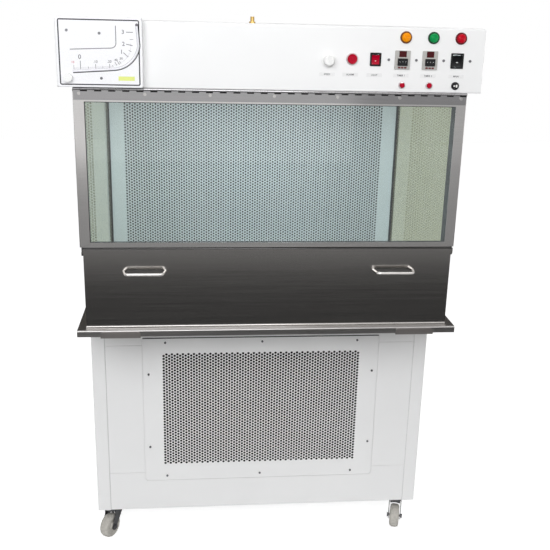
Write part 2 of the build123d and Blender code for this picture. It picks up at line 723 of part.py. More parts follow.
PLENUM_FLANGE_Y = DIFFUSER_Y + 10
with BuildPart() as side_glass:
    for inner_x in (-GLASS_X - GLASS, GLASS_X):
        block(
            (inner_x, inner_x + GLASS),
            (POST_FRONT_Y + POST_DEPTH - 11.5, PLENUM_FLANGE_Y),
            (WORKTOP_Z, HEADER_Z),
        )
save(side_glass, "side_glass")

# ---------------------------------------------------------------- rear plenum and filter

PLENUM_FLANGE = 26
FILTER_DEPTH = 70
FILTER_FRAME = 15
FILTER_X = 468
FILTER_Z = (WORKTOP_Z + 12, HEADER_Z - 10)
GASKET = 6
PLEATS = 22

with BuildPart() as plenum_shell:
    for side in (-1, 1):
        path = [
            (-CHAMBER_X + PLENUM_FLANGE, PLENUM_FLANGE_Y),
            (-CHAMBER_X, PLENUM_FLANGE_Y),
            (-CHAMBER_X, BACK_Y - SHEET),
            (-CHAMBER_X + PLENUM_FLANGE, BACK_Y - SHEET),
        ]
        with BuildSketch(Plane.XY.offset(WORKTOP_Z)) as wall_section:
            with BuildLine():
                FilletPolyline(*path, radius=FOLD)
                offset(amount=SHEET, side=Side.RIGHT)
            make_face()
            if side > 0:
                mirror(about=Plane.YZ, mode=Mode.REPLACE)
        extrude(wall_section.sketch, amount=CHAMBER_HEIGHT)
    # top flange that ties both walls and carries the filter's head
    flat_sheet((-CHAMBER_X + SHEET, CHAMBER_X - SHEET), (HEADER_Z - PLENUM_FLANGE, HEADER_Z), PLENUM_FLANGE_Y)
save(plenum_shell, "plenum_shell")

with BuildPart() as plenum_back_panel:
    flat_sheet((-CHAMBER_X, CHAMBER_X), (WORKTOP_Z, HEADER_Z), BACK_Y - SHEET)
save(plenum_back_panel, "plenum_back_panel")

with BuildPart() as filter_frame:
    with BuildSketch(front_plane(PLENUM_FLANGE_Y + SHEET + GASKET)) as filter_ring:
        with Locations((0, sum(FILTER_Z) / 2)):
            Rectangle(2 * FILTER_X, FILTER_Z[1] - FILTER_Z[0])
            Rectangle(
                2 * (FILTER_X - FILTER_FRAME),
                FILTER_Z[1] - FILTER_Z[0] - 2 * FILTER_FRAME,
                mode=Mode.SUBTRACT,
            )
    extrude(filter_ring.sketch, amount=-FILTER_DEPTH)
    # feet that stand the filter on the bench top
    for foot_x in (-FILTER_X + 60, FILTER_X - 60):
        block(
            (foot_x - 30, foot_x + 30),
            (PLENUM_FLANGE_Y + SHEET + GASKET, PLENUM_FLANGE_Y + SHEET + GASKET + FILTER_DEPTH),
            (WORKTOP_Z, FILTER_Z[0]),
        )
save(filter_frame, "filter_frame")

with BuildPart() as filter_pack:
    # the pleated medium: one zigzag sheet, its folds upright
    pack_x = FILTER_X - FILTER_FRAME
    pack_front = PLENUM_FLANGE_Y + SHEET + GASKET + 6
    pack_back = pack_front + FILTER_DEPTH - 12
    folds = [
        (-pack_x + 1 + index * (2 * pack_x - 2) / (2 * PLEATS), pack_back if index % 2 else pack_front + 3)
        for index in range(2 * PLEATS + 1)
    ]
    with BuildSketch(Plane.XY.offset(FILTER_Z[0] + FILTER_FRAME)) as pleat_section:
        with BuildLine():
            Polyline(*folds, *[(x, y - 3) for x, y in reversed(folds)], close=True)
        make_face()
    extrude(pleat_section.sketch, amount=FILTER_Z[1] - FILTER_Z[0] - 2 * FILTER_FRAME)
save(filter_pack, "filter_pack")

DIFFUSER_X = 475
DIFFUSER_FIELD = (854, 560)
DIFFUSER_COLUMNS = 15
DIFFUSER_ROWS = 8

with BuildPart() as diffuser_plate:
    flat_sheet((-DIFFUSER_X, DIFFUSER_X), (WORKTOP_Z, HEADER_Z - 0.5), DIFFUSER_Y)
    with BuildSketch(front_plane(DIFFUSER_Y)) as diffuser_field:
        with Locations((0, WORKTOP_Z + CHAMBER_HEIGHT / 2)):
            staggered_holes(*DIFFUSER_FIELD, DIFFUSER_COLUMNS, DIFFUSER_ROWS, 0.62)
    extrude(diffuser_field.sketch, amount=-SHEET, mode=Mode.SUBTRACT)
save(diffuser_plate, "diffuser_plate")

GASKET_Y = FRONT_Y + 7.6
GASKET_Z = (SILL_Z + 4, HEADER_Z - 16)
SPACER_WIDTH = 12
with BuildPart() as chamber_seals:
    # ring that the window closes on, in front of the front frame
    with BuildSketch(front_plane(GASKET_Y)) as window_seal:
        seal_height = GASKET_Z[1] - GASKET_Z[0]
        with Locations((0, sum(GASKET_Z) / 2)):
            RectangleRounded(2 * (CHAMBER_X - 1), seal_height, 6)
            Rectangle(2 * (CHAMBER_X - POST_WIDTH + 2), seal_height - 20, mode=Mode.SUBTRACT)
    extrude(window_seal.sketch, amount=-(POST_FRONT_Y - GASKET_Y))
    # ring between the plenum's flange and the filter
    with BuildSketch(front_plane(PLENUM_FLANGE_Y + SHEET)) as filter_seal:
        with Locations((0, sum(FILTER_Z) / 2)):
            Rectangle(2 * FILTER_X, FILTER_Z[1] - FILTER_Z[0])
            Rectangle(2 * (FILTER_X - 12), FILTER_Z[1] - FILTER_Z[0] - 24, mode=Mode.SUBTRACT)
    extrude(filter_seal.sketch, amount=-GASKET)
    # ring that stands the diffuser plate off the plenum's flange
    with BuildSketch(front_plane(DIFFUSER_Y + SHEET)) as diffuser_spacer:
        with Locations((0, (WORKTOP_Z + HEADER_Z - 0.5) / 2)):
            Rectangle(2 * DIFFUSER_X, CHAMBER_HEIGHT - 0.5)
            Rectangle(
                2 * (DIFFUSER_X - SPACER_WIDTH),
                CHAMBER_HEIGHT - 0.5 - 2 * SPACER_WIDTH,
                mode=Mode.SUBTRACT,
            )
    extrude(diffuser_spacer.sketch, amount=-(PLENUM_FLANGE_Y - DIFFUSER_Y - SHEET))
    # upright strips in the chamber's rear corners
    for side in (-1, 1):
        strip_x = (side * (GLASS_X - 5), side * GLASS_X)
        block((min(strip_x), max(strip_x)), (DIFFUSER_Y - 8, DIFFUSER_Y), (WORKTOP_Z, HEADER_Z))
save(chamber_seals, "chamber_seals")

# ---------------------------------------------------------------- header box

COVER_FOLD = 4
LIGHT_X = 320
LIGHT_Y = (FRONT_Y + 70, FRONT_Y + 150)
LIGHT_HEIGHT = 46
UNIT_RADIUS = 11.2         # panel cut-out for a 22 mm control unit
SMALL_RADIUS = 6.6         # panel cut-out for a 12 mm button

CONTROL_ROW_Z = HEADER_Z + 80
LAMP_ROW_Z = HEADER_Z + 135
BUTTON_ROW_Z = HEADER_Z + 18
KNOB_X = 134
ALARM_X = 194
LIGHT_SWITCH_X = 254
TIMER_X = (323, 394)
MAIN_SWITCH_X = 465
LAMP_X = (329, 400, 471)
RESET_X = (325.5, 396.5)
KEY_X = 465
CONTROL_SCREW_X = (288, 359, 430, 499)

MANOMETER_X = (-530, -325)
MANOMETER_Z = (HEADER_Z + 2, HEADER_Z + 166)
MANOMETER_DEPTH = 26

TIMER_BEZEL = (39, 46)
TIMER_CASE = (35, 42)
TIMER_DISPLAY = (19, 15)
TIMER_SETTER = (26, 18)
LIGHT_BEZEL = (28, 33)
MAIN_BEZEL = (33, 38)
PIVOT_RADIUS = 1.5

with BuildPart() as header_fascia:
    folded_sheet(
        [
            (FRONT_Y + 40, HEADER_Z),
            (FRONT_Y, HEADER_Z),
            (FRONT_Y, TOP_Z - SHEET),
            (FRONT_Y + 22, TOP_Z - SHEET),
        ],
        side_plane(-HEADER_X),
        2 * HEADER_X,
    )
    # the folded returns stop short of the cover's end walls
    for end_x in (-HEADER_X, HEADER_X - SHEET - SLIP):
        block(
            (end_x, end_x + SHEET + SLIP),
            (FRONT_Y + SHEET, FRONT_Y + 40),
            (HEADER_Z, TOP_Z),
            Mode.SUBTRACT,
        )
    with BuildSketch(front_plane(FRONT_Y)) as cutouts:
        with Locations(*[(x, CONTROL_ROW_Z) for x in CONTROL_SCREW_X]):
            Circle(2.8)
        with Locations(*[(x, LAMP_ROW_Z) for x in LAMP_X], (ALARM_X, CONTROL_ROW_Z)):
            Circle(UNIT_RADIUS)
        with Locations(*[(x, BUTTON_ROW_Z) for x in RESET_X], (KEY_X, BUTTON_ROW_Z)):
            Circle(SMALL_RADIUS)
        with Locations((KNOB_X, CONTROL_ROW_Z - 4)):
            Circle(3.6)
        with Locations(*[(x, CONTROL_ROW_Z) for x in TIMER_X]):
            Rectangle(*TIMER_CASE)
        with Locations((LIGHT_SWITCH_X, CONTROL_ROW_Z)):
            Rectangle(LIGHT_BEZEL[0] - 4, LIGHT_BEZEL[1] - 4)
        with Locations((MAIN_SWITCH_X, CONTROL_ROW_Z)):
            Rectangle(MAIN_BEZEL[0] - 4, MAIN_BEZEL[1] - 4)
    extrude(cutouts.sketch, amount=-SHEET, mode=Mode.SUBTRACT)
save(header_fascia, "header_fascia")

with BuildPart() as header_cover:
    block((-HEADER_X, HEADER_X), (FRONT_Y + SHEET, BACK_Y), (HEADER_Z, TOP_Z))
    fillet(header_cover.edges().filter_by(Axis.Y).group_by(Axis.Z)[-1], radius=COVER_FOLD)
    block(
        (-HEADER_X + SHEET, HEADER_X - SHEET),
        (FRONT_Y + SHEET, BACK_Y - SHEET),
        (HEADER_Z, TOP_Z - SHEET),
        Mode.SUBTRACT,
    )
    # the fascia's folded returns nest inside the cover's front edge
    block((-HEADER_X, HEADER_X), (FRONT_Y + SHEET, FRONT_Y + 40), (HEADER_Z, HEADER_Z + SHEET), Mode.SUBTRACT)
save(header_cover, "header_cover")

with BuildPart() as chamber_ceiling:
    block(
        (-HEADER_X + SHEET, HEADER_X - SHEET),
        (FRONT_Y + 40, BACK_Y - SHEET),
        (HEADER_Z, HEADER_Z + SHEET),
    )
    block((-LIGHT_X, LIGHT_X), LIGHT_Y, (HEADER_Z, HEADER_Z + SHEET), Mode.SUBTRACT)
save(chamber_ceiling, "chamber_ceiling")

with BuildPart() as light_fitting:
    # an open trough on the ceiling, with a socket at each end of the tube
    trough = [
        (LIGHT_Y[0] - 12, HEADER_Z + SHEET),
        (LIGHT_Y[0], HEADER_Z + SHEET),
        (LIGHT_Y[0] + 10, HEADER_Z + SHEET + LIGHT_HEIGHT),
        (LIGHT_Y[1] - 10, HEADER_Z + SHEET + LIGHT_HEIGHT),
        (LIGHT_Y[1], HEADER_Z + SHEET),
        (LIGHT_Y[1] + 12, HEADER_Z + SHEET),
    ]
    with BuildSketch(side_plane(-LIGHT_X)) as trough_section:
        with BuildLine():
            FilletPolyline(*trough, radius=1)
            offset(amount=1.2, side=Side.LEFT)
        make_face()
    extrude(trough_section.sketch, amount=2 * LIGHT_X)
    for end_x in (-LIGHT_X, LIGHT_X - 14):
        block(
            (end_x, end_x + 14),
            (sum(LIGHT_Y) / 2 - 12, sum(LIGHT_Y) / 2 + 12),
            (HEADER_Z + SHEET + 6, HEADER_Z + SHEET + LIGHT_HEIGHT),
        )
save(light_fitting, "light_fitting")

with BuildPart() as light_tube:
    with BuildSketch(side_plane(-LIGHT_X + 14)) as tube_section:
        with Locations((sum(LIGHT_Y) / 2, HEADER_Z + 24)):
            Circle(13)
    extrude(tube_section.sketch, amount=2 * LIGHT_X - 28)
save(light_tube, "light_tube")

# ---------------------------------------------------------------- controls

BEZEL_RADIUS = 15
SMALL_BEZEL_RADIUS = 9
BARREL_DEPTH = 34
CAP_RADIUS = 12
SMALL_CAP_RADIUS = 6.2


def turned(center, profile):
    """Revolve a profile of (radius, depth behind the fascia) about an axis through center."""
    center_x, center_z = center
    plane = Plane(origin=(center_x, FRONT_Y, center_z), x_dir=(1, 0, 0), z_dir=(0, 0, 1))
    with BuildSketch(plane) as section:
        with BuildLine():
            Polyline(*profile, close=True)
        make_face()
    axis = Axis((center_x, FRONT_Y, center_z), (0, 1, 0))
    revolve(section.sketch, axis=axis)


def bezel_profile(outer, barrel, bore, well, front):
    """Ring in front of the fascia, with a barrel through its hole and a bore for the stem."""
    return [
        (well, front),
        (outer - 1.5, front),
        (outer, front + 1.5),
        (outer, 0),
        (barrel, 0),
        (barrel, BARREL_DEPTH),
        (bore, BARREL_DEPTH),
        (bore, -1),
        (well, -1),
    ]


with BuildPart() as control_bezels:
    for lamp_x in LAMP_X:
        turned((lamp_x, LAMP_ROW_Z), bezel_profile(BEZEL_RADIUS, 11, 8.4, 12.6, -4))
    turned((ALARM_X, CONTROL_ROW_Z), bezel_profile(BEZEL_RADIUS, 11, 8.4, CAP_RADIUS + 0.4, -5))
    for reset_x in RESET_X:
        turned(
            (reset_x, BUTTON_ROW_Z),
            bezel_profile(SMALL_BEZEL_RADIUS, 6.4, 3.4, SMALL_CAP_RADIUS + 0.4, -4),
        )
    turned((KEY_X, BUTTON_ROW_Z), bezel_profile(10, 6.4, 5.2, 7.4, -5))
    # square surrounds of the two rocker switches, each with a case behind the fascia
    for switch_x, (bezel_w, bezel_h) in ((LIGHT_SWITCH_X, LIGHT_BEZEL), (MAIN_SWITCH_X, MAIN_BEZEL)):
        middle = (switch_x, CONTROL_ROW_Z)
        with BuildSketch(front_plane(FRONT_Y - 2.5)) as surround:
            with Locations(middle):
                RectangleRounded(bezel_w, bezel_h, 2)
                Rectangle(bezel_w - 8, bezel_h - 8, mode=Mode.SUBTRACT)
        extrude(surround.sketch, amount=-2.5)
        with BuildSketch(front_plane(FRONT_Y)) as case:
            with Locations(middle):
                Rectangle(bezel_w - 4.6, bezel_h - 4.6)
        extrude(case.sketch, amount=-26)
        with BuildSketch(front_plane(FRONT_Y)) as well:
            with Locations(middle):
                Rectangle(bezel_w - 8, bezel_h - 8)
        extrude(well.sketch, amount=-10, mode=Mode.SUBTRACT)
        # pivot pin across the well, which the rocker key tips on
        with BuildSketch(side_plane(switch_x - bezel_w / 2 + 3)) as pivot:
            with Locations((FRONT_Y + 1, CONTROL_ROW_Z)):
                Circle(PIVOT_RADIUS)
        extrude(pivot.sketch, amount=bezel_w - 6)
save(control_bezels, "control_bezels")

with BuildPart() as pilot_lamps:
    for lamp_x in LAMP_X:
        turned(
            (lamp_x, LAMP_ROW_Z),
            [(0, -12), (6, -11.4), (10, -9.5), (12.2, -6), (12.5, -1), (0, -1)],
        )
save(pilot_lamps, "pilot_lamps")

with BuildPart() as alarm_button:
    turned(
        (ALARM_X, CONTROL_ROW_Z),
        [
            (0, -9.6),
            (9, -9.6),
            (11, -10.2),
            (CAP_RADIUS, -9),
            (CAP_RADIUS, -5.2),
            (8.3, -5.2),
            (8.3, 22),
            (0, 22),
        ],
    )
save(alarm_button, "alarm_button")

for reset_name, reset_x in zip(("left", "right"), RESET_X):
    with BuildPart() as reset_button:
        turned(
            (reset_x, BUTTON_ROW_Z),
            [
                (0, -9),
                (SMALL_CAP_RADIUS - 1.5, -9),
                (SMALL_CAP_RADIUS, -7.5),
                (SMALL_CAP_RADIUS, -4.4),
                (3.3, -4.4),
                (3.3, 20),
                (0, 20),
            ],
        )
    save(reset_button, f"reset_button_{reset_name}")

with BuildPart() as key_plug:
    turned(
        (KEY_X, BUTTON_ROW_Z),
        [(0, -5.5), (6.6, -5.5), (7, -5), (7, -1.1), (5.1, -1.1), (5.1, 30), (0, 30)],
    )
    block(
        (KEY_X - 0.8, KEY_X + 0.8),
        (FRONT_Y - 6, FRONT_Y - 2),
        (BUTTON_ROW_Z - 4, BUTTON_ROW_Z + 4),
        Mode.SUBTRACT,
    )
save(key_plug, "key_plug")

with BuildPart() as speed_knob:
    turned(
        (KNOB_X, CONTROL_ROW_Z - 4),
        [
            (0, -20),
            (11, -20),
            (12.5, -18.5),
            (13.5, -4),
            (17, -3.2),
            (17, -0.6),
            (3.4, -0.6),
            (3.4, 18),
            (0, 18),
        ],
    )
    # the raised bar that the fingers turn
    block((KNOB_X - 2.6, KNOB_X + 2.6), (FRONT_Y - 23, FRONT_Y - 19), (CONTROL_ROW_Z - 16, CONTROL_ROW_Z + 8))
save(speed_knob, "speed_knob")


def rocker(center_x, width, height, tilt):
    """A rocker key with a hollowed face, tipped about its pivot behind the surround."""
    with BuildPart() as key:
        with BuildSketch(side_plane(-width / 2)) as key_section:
            with BuildLine():
                Line((6, -height / 2 + 3), (-5, -height / 2))
                ThreePointArc((-5, -height / 2), (-2.6, 0), (-5, height / 2))
                Line((-5, height / 2), (6, height / 2 - 3))
                Line((6, height / 2 - 3), (6, -height / 2 + 3))
            make_face()
            Circle(PIVOT_RADIUS + 0.05, mode=Mode.SUBTRACT)
        extrude(key_section.sketch, amount=width)
    return Location((center_x, FRONT_Y + 1, CONTROL_ROW_Z), (tilt, 0, 0)) * key.part


ROCKER_TILT = 8
light_rocker = rocker(LIGHT_SWITCH_X, LIGHT_BEZEL[0] - 9, LIGHT_BEZEL[1] - 10, ROCKER_TILT)
light_rocker.label = "light_rocker"
export_step(light_rocker, "parts/light_rocker.step")
main_rocker = rocker(MAIN_SWITCH_X, MAIN_BEZEL[0] - 9, MAIN_BEZEL[1] - 10, ROCKER_TILT)
main_rocker.label = "main_rocker"
export_step(main_rocker, "parts/main_rocker.step")

with BuildPart() as timers:
    for timer_x in TIMER_X:
        middle = (timer_x, CONTROL_ROW_Z)
        with BuildSketch(front_plane(FRONT_Y - 4)) as timer_bezel:
            with Locations(middle):
                RectangleRounded(*TIMER_BEZEL, 1.5)
        extrude(timer_bezel.sketch, amount=-4)
        with BuildSketch(front_plane(FRONT_Y)) as timer_case:
            with Locations(middle):
                Rectangle(TIMER_CASE[0] - 0.6, TIMER_CASE[1] - 0.6)
        extrude(timer_case.sketch, amount=-60)
        # display window, sunk into the face
        with BuildSketch(front_plane(FRONT_Y - 4)) as display:
            with Locations((timer_x, CONTROL_ROW_Z + 14.5)):
                Rectangle(*TIMER_DISPLAY)
        extrude(display.sketch, amount=-1.2, mode=Mode.SUBTRACT)
        # digit setter with three edge wheels
        with BuildSketch(front_plane(FRONT_Y - 5.5)) as setter:
            with Locations((timer_x, CONTROL_ROW_Z - 5)):
                Rectangle(*TIMER_SETTER)
        extrude(setter.sketch, amount=-2)
        with BuildSketch(side_plane(timer_x - 10)) as edge_wheel:
            with Locations((FRONT_Y - 4, CONTROL_ROW_Z - 5)):
                Circle(3.2)
        for digit in range(3):
            extrude(edge_wheel.sketch.moved(Location((digit * 7.5, 0, 0))), amount=5)
save(timers, "timers")

# ---------------------------------------------------------------- manometer

TUBE_RADIUS = 2.6
GROOVE_RADIUS = 3
MANOMETER_FACE_Y = FRONT_Y - MANOMETER_DEPTH
LEVEL_KNOB = (-504, HEADER_Z + 25)
MANOMETER_SCREWS = [(-503, HEADER_Z + 134.5), (-426.5, HEADER_Z + 129), (-425, HEADER_Z + 24)]
tube_start = (-492, HEADER_Z + 39.4)
tube_bend = (-393, HEADER_Z + 46.2)
tube_turn = (-334, HEADER_Z + 101.5)
tube_end = (-337.5, HEADER_Z + 150)


def tube_path():
    """Inclined run, bend and upright run of the indicating tube, in the manometer's face."""
    with BuildLine(front_plane(MANOMETER_FACE_Y)) as path:
        incline = Line(tube_start, tube_bend)
        bend = TangentArc(tube_bend, tube_turn, tangent=incline % 1)
        Line(tube_turn, tube_end)
    return path.line


with BuildPart() as manometer_body:
    with BuildSketch(front_plane(FRONT_Y)) as manometer_outline:
        with Locations((sum(MANOMETER_X) / 2, sum(MANOMETER_Z) / 2)):
            RectangleRounded(MANOMETER_X[1] - MANOMETER_X[0], MANOMETER_Z[1] - MANOMETER_Z[0], 5)
    extrude(manometer_outline.sketch, amount=MANOMETER_DEPTH)
    fillet(manometer_body.faces().sort_by(Axis.Y)[0].edges(), radius=2)
    # groove that the tube lies in
    groove_path = tube_path()
    with BuildSketch(Plane(origin=groove_path @ 0, z_dir=groove_path % 0)) as groove_section:
        Circle(GROOVE_RADIUS)
    sweep(groove_section.sketch, path=groove_path, mode=Mode.SUBTRACT)
    # seats of the level knob and of the fixing screws
    disc(LEVEL_KNOB, MANOMETER_FACE_Y, 3.05, 12, Mode.SUBTRACT)
    for seat in MANOMETER_SCREWS:
        disc(seat, MANOMETER_FACE_Y, 2.6, 8, Mode.SUBTRACT)
save(manometer_body, "manometer_body")

with BuildPart() as manometer_tube:
    bore_path = tube_path()
    with BuildSketch(Plane(origin=bore_path @ 0, z_dir=bore_path % 0)) as glass_section:
        Circle(TUBE_RADIUS)
    sweep(glass_section.sketch, path=bore_path)
save(manometer_tube, "manometer_tube")

with BuildPart() as manometer_knob:
    with BuildSketch(front_plane(MANOMETER_FACE_Y - 0.4)) as grip:
        with Locations(LEVEL_KNOB):
            RegularPolygon(10.5, 12)
    extrude(grip.sketch, amount=11)
    disc(LEVEL_KNOB, MANOMETER_FACE_Y - 0.4, 3, 11)
save(manometer_knob, "manometer_knob")

SPIGOT_X = -54
SPIGOT_Y = FRONT_Y + 60
SPIGOT_RADIUS = 5
SPIGOT_LENGTH = 12
with BuildPart() as brass_spigot:
    with BuildSketch(Plane.XY.offset(TOP_Z)) as spigot_nut:
        with Locations((SPIGOT_X, SPIGOT_Y)):
            RegularPolygon(8, 6)
    extrude(spigot_nut.sketch, amount=4)
    with Locations((SPIGOT_X, SPIGOT_Y, TOP_Z + 4)):
        Cylinder(SPIGOT_RADIUS, SPIGOT_LENGTH, align=(Align.CENTER, Align.CENTER, Align.MIN))
        Cylinder(3, SPIGOT_LENGTH, align=(Align.CENTER, Align.CENTER, Align.MIN), mode=Mode.SUBTRACT)
save(brass_spigot, "brass_spigot")

# ---------------------------------------------------------------- fastener groups

CASING_SCREW_HEAD = 3.3
HINGE_SCREW_HEAD = 4.2
SCREW_HEAD_HEIGHT = 2


def pan_screw(center, y, length, head):
    """A pan-head screw driven from the front into the face at y."""
    disc(center, y - SCREW_HEAD_HEIGHT, head, SCREW_HEAD_HEIGHT)
    disc(center, y, 2.4, length)


with BuildPart() as casing_screws:
    for screw_x, screw_z in INTAKE_SCREWS:
        middle = (screw_x, INTAKE_MIDDLE_Z + screw_z)
        pan_screw(middle, CABINET_Y, 2 * SHEET - 0.2, CASING_SCREW_HEAD)
    for screw_x in CONTROL_SCREW_X:
        pan_screw((screw_x, CONTROL_ROW_Z), FRONT_Y, 8, CASING_SCREW_HEAD)
    for seat in MANOMETER_SCREWS:
        pan_screw(seat, MANOMETER_FACE_Y, 8, CASING_SCREW_HEAD)
save(casing_screws, "casing_screws")

# ---------------------------------------------------------------- window and its piano hinge

STILE = 27
TOP_RAIL_FACE = 30
GLASS_LOW_Z = WORKTOP_Z + 234
WINDOW_TOP_Z = HEADER_Z - 4.5
WINDOW_DEPTH = 12.4
WINDOW_GLASS = 5
HINGE_Y = FRONT_Y - 3.5
HINGE_Z = HEADER_Z - 3
KNUCKLE_RADIUS = 3.4
PIN_RADIUS = 1.5
LEAF = 1.5
KNUCKLES = 58
NOTCH = 3.2                # clear height under each knuckle of the header's leaf
HINGE_X = 498
KNUCKLE_GAP = 0.4
HINGE_SCREW_SPACING = 161.3
HINGE_SCREW_STEPS = range(-3, 4)
HINGE_SCREW_Z = HEADER_Z - 14.5

with BuildPart() as window_frame:
    block((-WINDOW_X, WINDOW_X), (FRONT_Y, FRONT_Y + WINDOW_DEPTH), (WINDOW_BOTTOM_Z, WINDOW_TOP_Z))
    fillet(window_frame.edges().filter_by(Axis.Z).group_by(Axis.Y)[0], radius=SHEET)
    block(
        (-WINDOW_X + SHEET, WINDOW_X - SHEET),
        (FRONT_Y + SHEET, FRONT_Y + WINDOW_DEPTH),
        (WINDOW_BOTTOM_Z + SHEET, WINDOW_TOP_Z - SHEET),
        Mode.SUBTRACT,
    )
    block(
        (-WINDOW_X + STILE, WINDOW_X - STILE),
        (FRONT_Y, FRONT_Y + SHEET),
        (GLASS_LOW_Z, WINDOW_TOP_Z - TOP_RAIL_FACE),
        Mode.SUBTRACT,
    )
    for step in HINGE_SCREW_STEPS:
        disc((step * HINGE_SCREW_SPACING, HINGE_SCREW_Z), FRONT_Y, 2.5, SHEET, Mode.SUBTRACT)
save(window_frame, "window_frame")

with BuildPart() as window_glass:
    block(
        (-WINDOW_X + STILE - 14, WINDOW_X - STILE + 14),
        (FRONT_Y + SHEET, FRONT_Y + SHEET + WINDOW_GLASS),
        (WINDOW_BOTTOM_Z + SHEET + 1, WINDOW_TOP_Z - TOP_RAIL_FACE + 14),
    )
save(window_glass, "window_glass")

knuckle_pitch = 2 * HINGE_X / KNUCKLES


def hinge_knuckles(first):
    """Every second knuckle of the hinge, from the one numbered first."""
    for index in range(first, KNUCKLES, 2):
        low_x = -HINGE_X + index * knuckle_pitch + KNUCKLE_GAP / 2
        with BuildSketch(side_plane(low_x)) as knuckle:
            with Locations((HINGE_Y, HINGE_Z)):
                Circle(KNUCKLE_RADIUS)
            if first:
                with Locations((HINGE_Y + 4, HINGE_Z + 2.25)):
                    Rectangle(8, LEAF)
            else:
                with Locations((HINGE_Y + 2 + LEAF / 2, HINGE_Z)):
                    Rectangle(LEAF, KNUCKLE_RADIUS + NOTCH + 1, align=(Align.CENTER, Align.MAX))
            with Locations((HINGE_Y, HINGE_Z)):
                Circle(PIN_RADIUS + 0.05, mode=Mode.SUBTRACT)
        extrude(knuckle.sketch, amount=knuckle_pitch - KNUCKLE_GAP)


with BuildPart() as window_hinge_leaf:
    block(
        (-HINGE_X, HINGE_X),
        (FRONT_Y - LEAF, FRONT_Y),
        (WINDOW_TOP_Z - TOP_RAIL_FACE + 4, HINGE_Z - KNUCKLE_RADIUS - NOTCH),
    )
    hinge_knuckles(0)
    for step in HINGE_SCREW_STEPS:
        disc((step * HINGE_SCREW_SPACING, HINGE_SCREW_Z), FRONT_Y - LEAF, 2.5, LEAF, Mode.SUBTRACT)
save(window_hinge_leaf, "window_hinge_leaf")

with BuildPart() as header_hinge_leaf:
    block((-HINGE_X, HINGE_X), (FRONT_Y + 1, FRONT_Y + 11), (HEADER_Z - LEAF, HEADER_Z))
    hinge_knuckles(1)
save(header_hinge_leaf, "header_hinge_leaf")

with BuildPart() as hinge_pin:
    with BuildSketch(side_plane(-HINGE_X - 1)) as pin_section:
        with Locations((HINGE_Y, HINGE_Z)):
            Circle(PIN_RADIUS)
    extrude(pin_section.sketch, amount=2 * HINGE_X + 2)
save(hinge_pin, "hinge_pin")

with BuildPart() as hinge_screws:
    for step in HINGE_SCREW_STEPS:
        middle = (step * HINGE_SCREW_SPACING, HINGE_SCREW_Z)
        pan_screw(middle, FRONT_Y - LEAF, LEAF + SHEET, HINGE_SCREW_HEAD)
save(hinge_screws, "hinge_screws")

# ---------------------------------------------------------------- lift-off front panel

PANEL_X = 491
PANEL_Y = FRONT_Y - 6              # back face of the panel's sheet
PANEL_TOP_Z = SILL_Z - 0.5
PANEL_HEM = 13.5
HEM_OVERHANG = (1.5, 4)    # the hem runs past the sheet's left and right edges
PANEL_FOOT = 10
HOOK_X = 330
HOOK_WIDTH = 60
HANDLE_X = 334
HANDLE_Z = WORKTOP_Z + 158
HANDLE_ROD = 4
HANDLE_SPAN = 110
HANDLE_TAPER = 6

with BuildPart() as front_panel:
    # foot flange, face and the hem folded forward over its top edge
    with BuildSketch(side_plane(-PANEL_X)) as panel_section:
        with BuildLine():
            FilletPolyline(
                (PANEL_Y - SHEET - PANEL_FOOT, WORKTOP_Z + SLIP),
                (PANEL_Y, WORKTOP_Z + SLIP),
                (PANEL_Y, PANEL_TOP_Z),
                radius=6,
            )
            offset(amount=SHEET, side=Side.LEFT)
        make_face()
    extrude(panel_section.sketch, amount=2 * PANEL_X)
    with BuildSketch(side_plane(-PANEL_X - HEM_OVERHANG[0])) as hem_section:
        with BuildLine():
            Polyline(
                (PANEL_Y, PANEL_TOP_Z - PANEL_HEM),
                (PANEL_Y - 2 * SHEET, PANEL_TOP_Z - PANEL_HEM),
                (PANEL_Y - 2 * SHEET, PANEL_TOP_Z - SHEET),
            )
            ThreePointArc(
                (PANEL_Y - 2 * SHEET, PANEL_TOP_Z - SHEET),
                (PANEL_Y - SHEET, PANEL_TOP_Z),
                (PANEL_Y, PANEL_TOP_Z - SHEET),
            )
            Line((PANEL_Y, PANEL_TOP_Z - SHEET), (PANEL_Y, PANEL_TOP_Z - PANEL_HEM))
        make_face()
    extrude(hem_section.sketch, amount=2 * PANEL_X + sum(HEM_OVERHANG))
    # hooks that drop behind the sill's lip
    for hook_x in (-HOOK_X, HOOK_X):
        with BuildSketch(side_plane(hook_x - HOOK_WIDTH / 2)) as hook_section:
            with BuildLine():
                Polyline(
                    (PANEL_Y, SILL_Z - 7),
                    (PANEL_Y, SILL_Z - 5.5),
                    (FRONT_Y - 0.3, SILL_Z - 5.5),
                    (FRONT_Y - 0.3, SILL_Z - 14),
                    (FRONT_Y - 1.8, SILL_Z - 14),
                    (FRONT_Y - 1.8, SILL_Z - 7),
                    close=True,
                )
            make_face()
        extrude(hook_section.sketch, amount=HOOK_WIDTH)
save(front_panel, "front_panel")

with BuildPart() as panel_handles:
    for handle_x in (-HANDLE_X, HANDLE_X):
        face_y = PANEL_Y - SHEET
        bar_y = FRONT_Y - HANDLE_REACH + HANDLE_ROD
        with BuildLine(Plane.XY.offset(HANDLE_Z)) as handle_path:
            FilletPolyline(
                (handle_x - HANDLE_SPAN / 2, face_y + 2),
                (handle_x - HANDLE_SPAN / 2 + HANDLE_TAPER, bar_y),
                (handle_x + HANDLE_SPAN / 2 - HANDLE_TAPER, bar_y),
                (handle_x + HANDLE_SPAN / 2, face_y + 2),
                radius=10,
            )
        rod_start = Plane(origin=handle_path.line @ 0, z_dir=handle_path.line % 0)
        with BuildSketch(rod_start) as rod_section:
            Circle(HANDLE_ROD)
        sweep(rod_section.sketch, path=handle_path.line)
    # both ends of each rod are cut flush with the panel
    split(bisect_by=Plane.XZ.offset(-(PANEL_Y - SHEET)), keep=Keep.TOP)
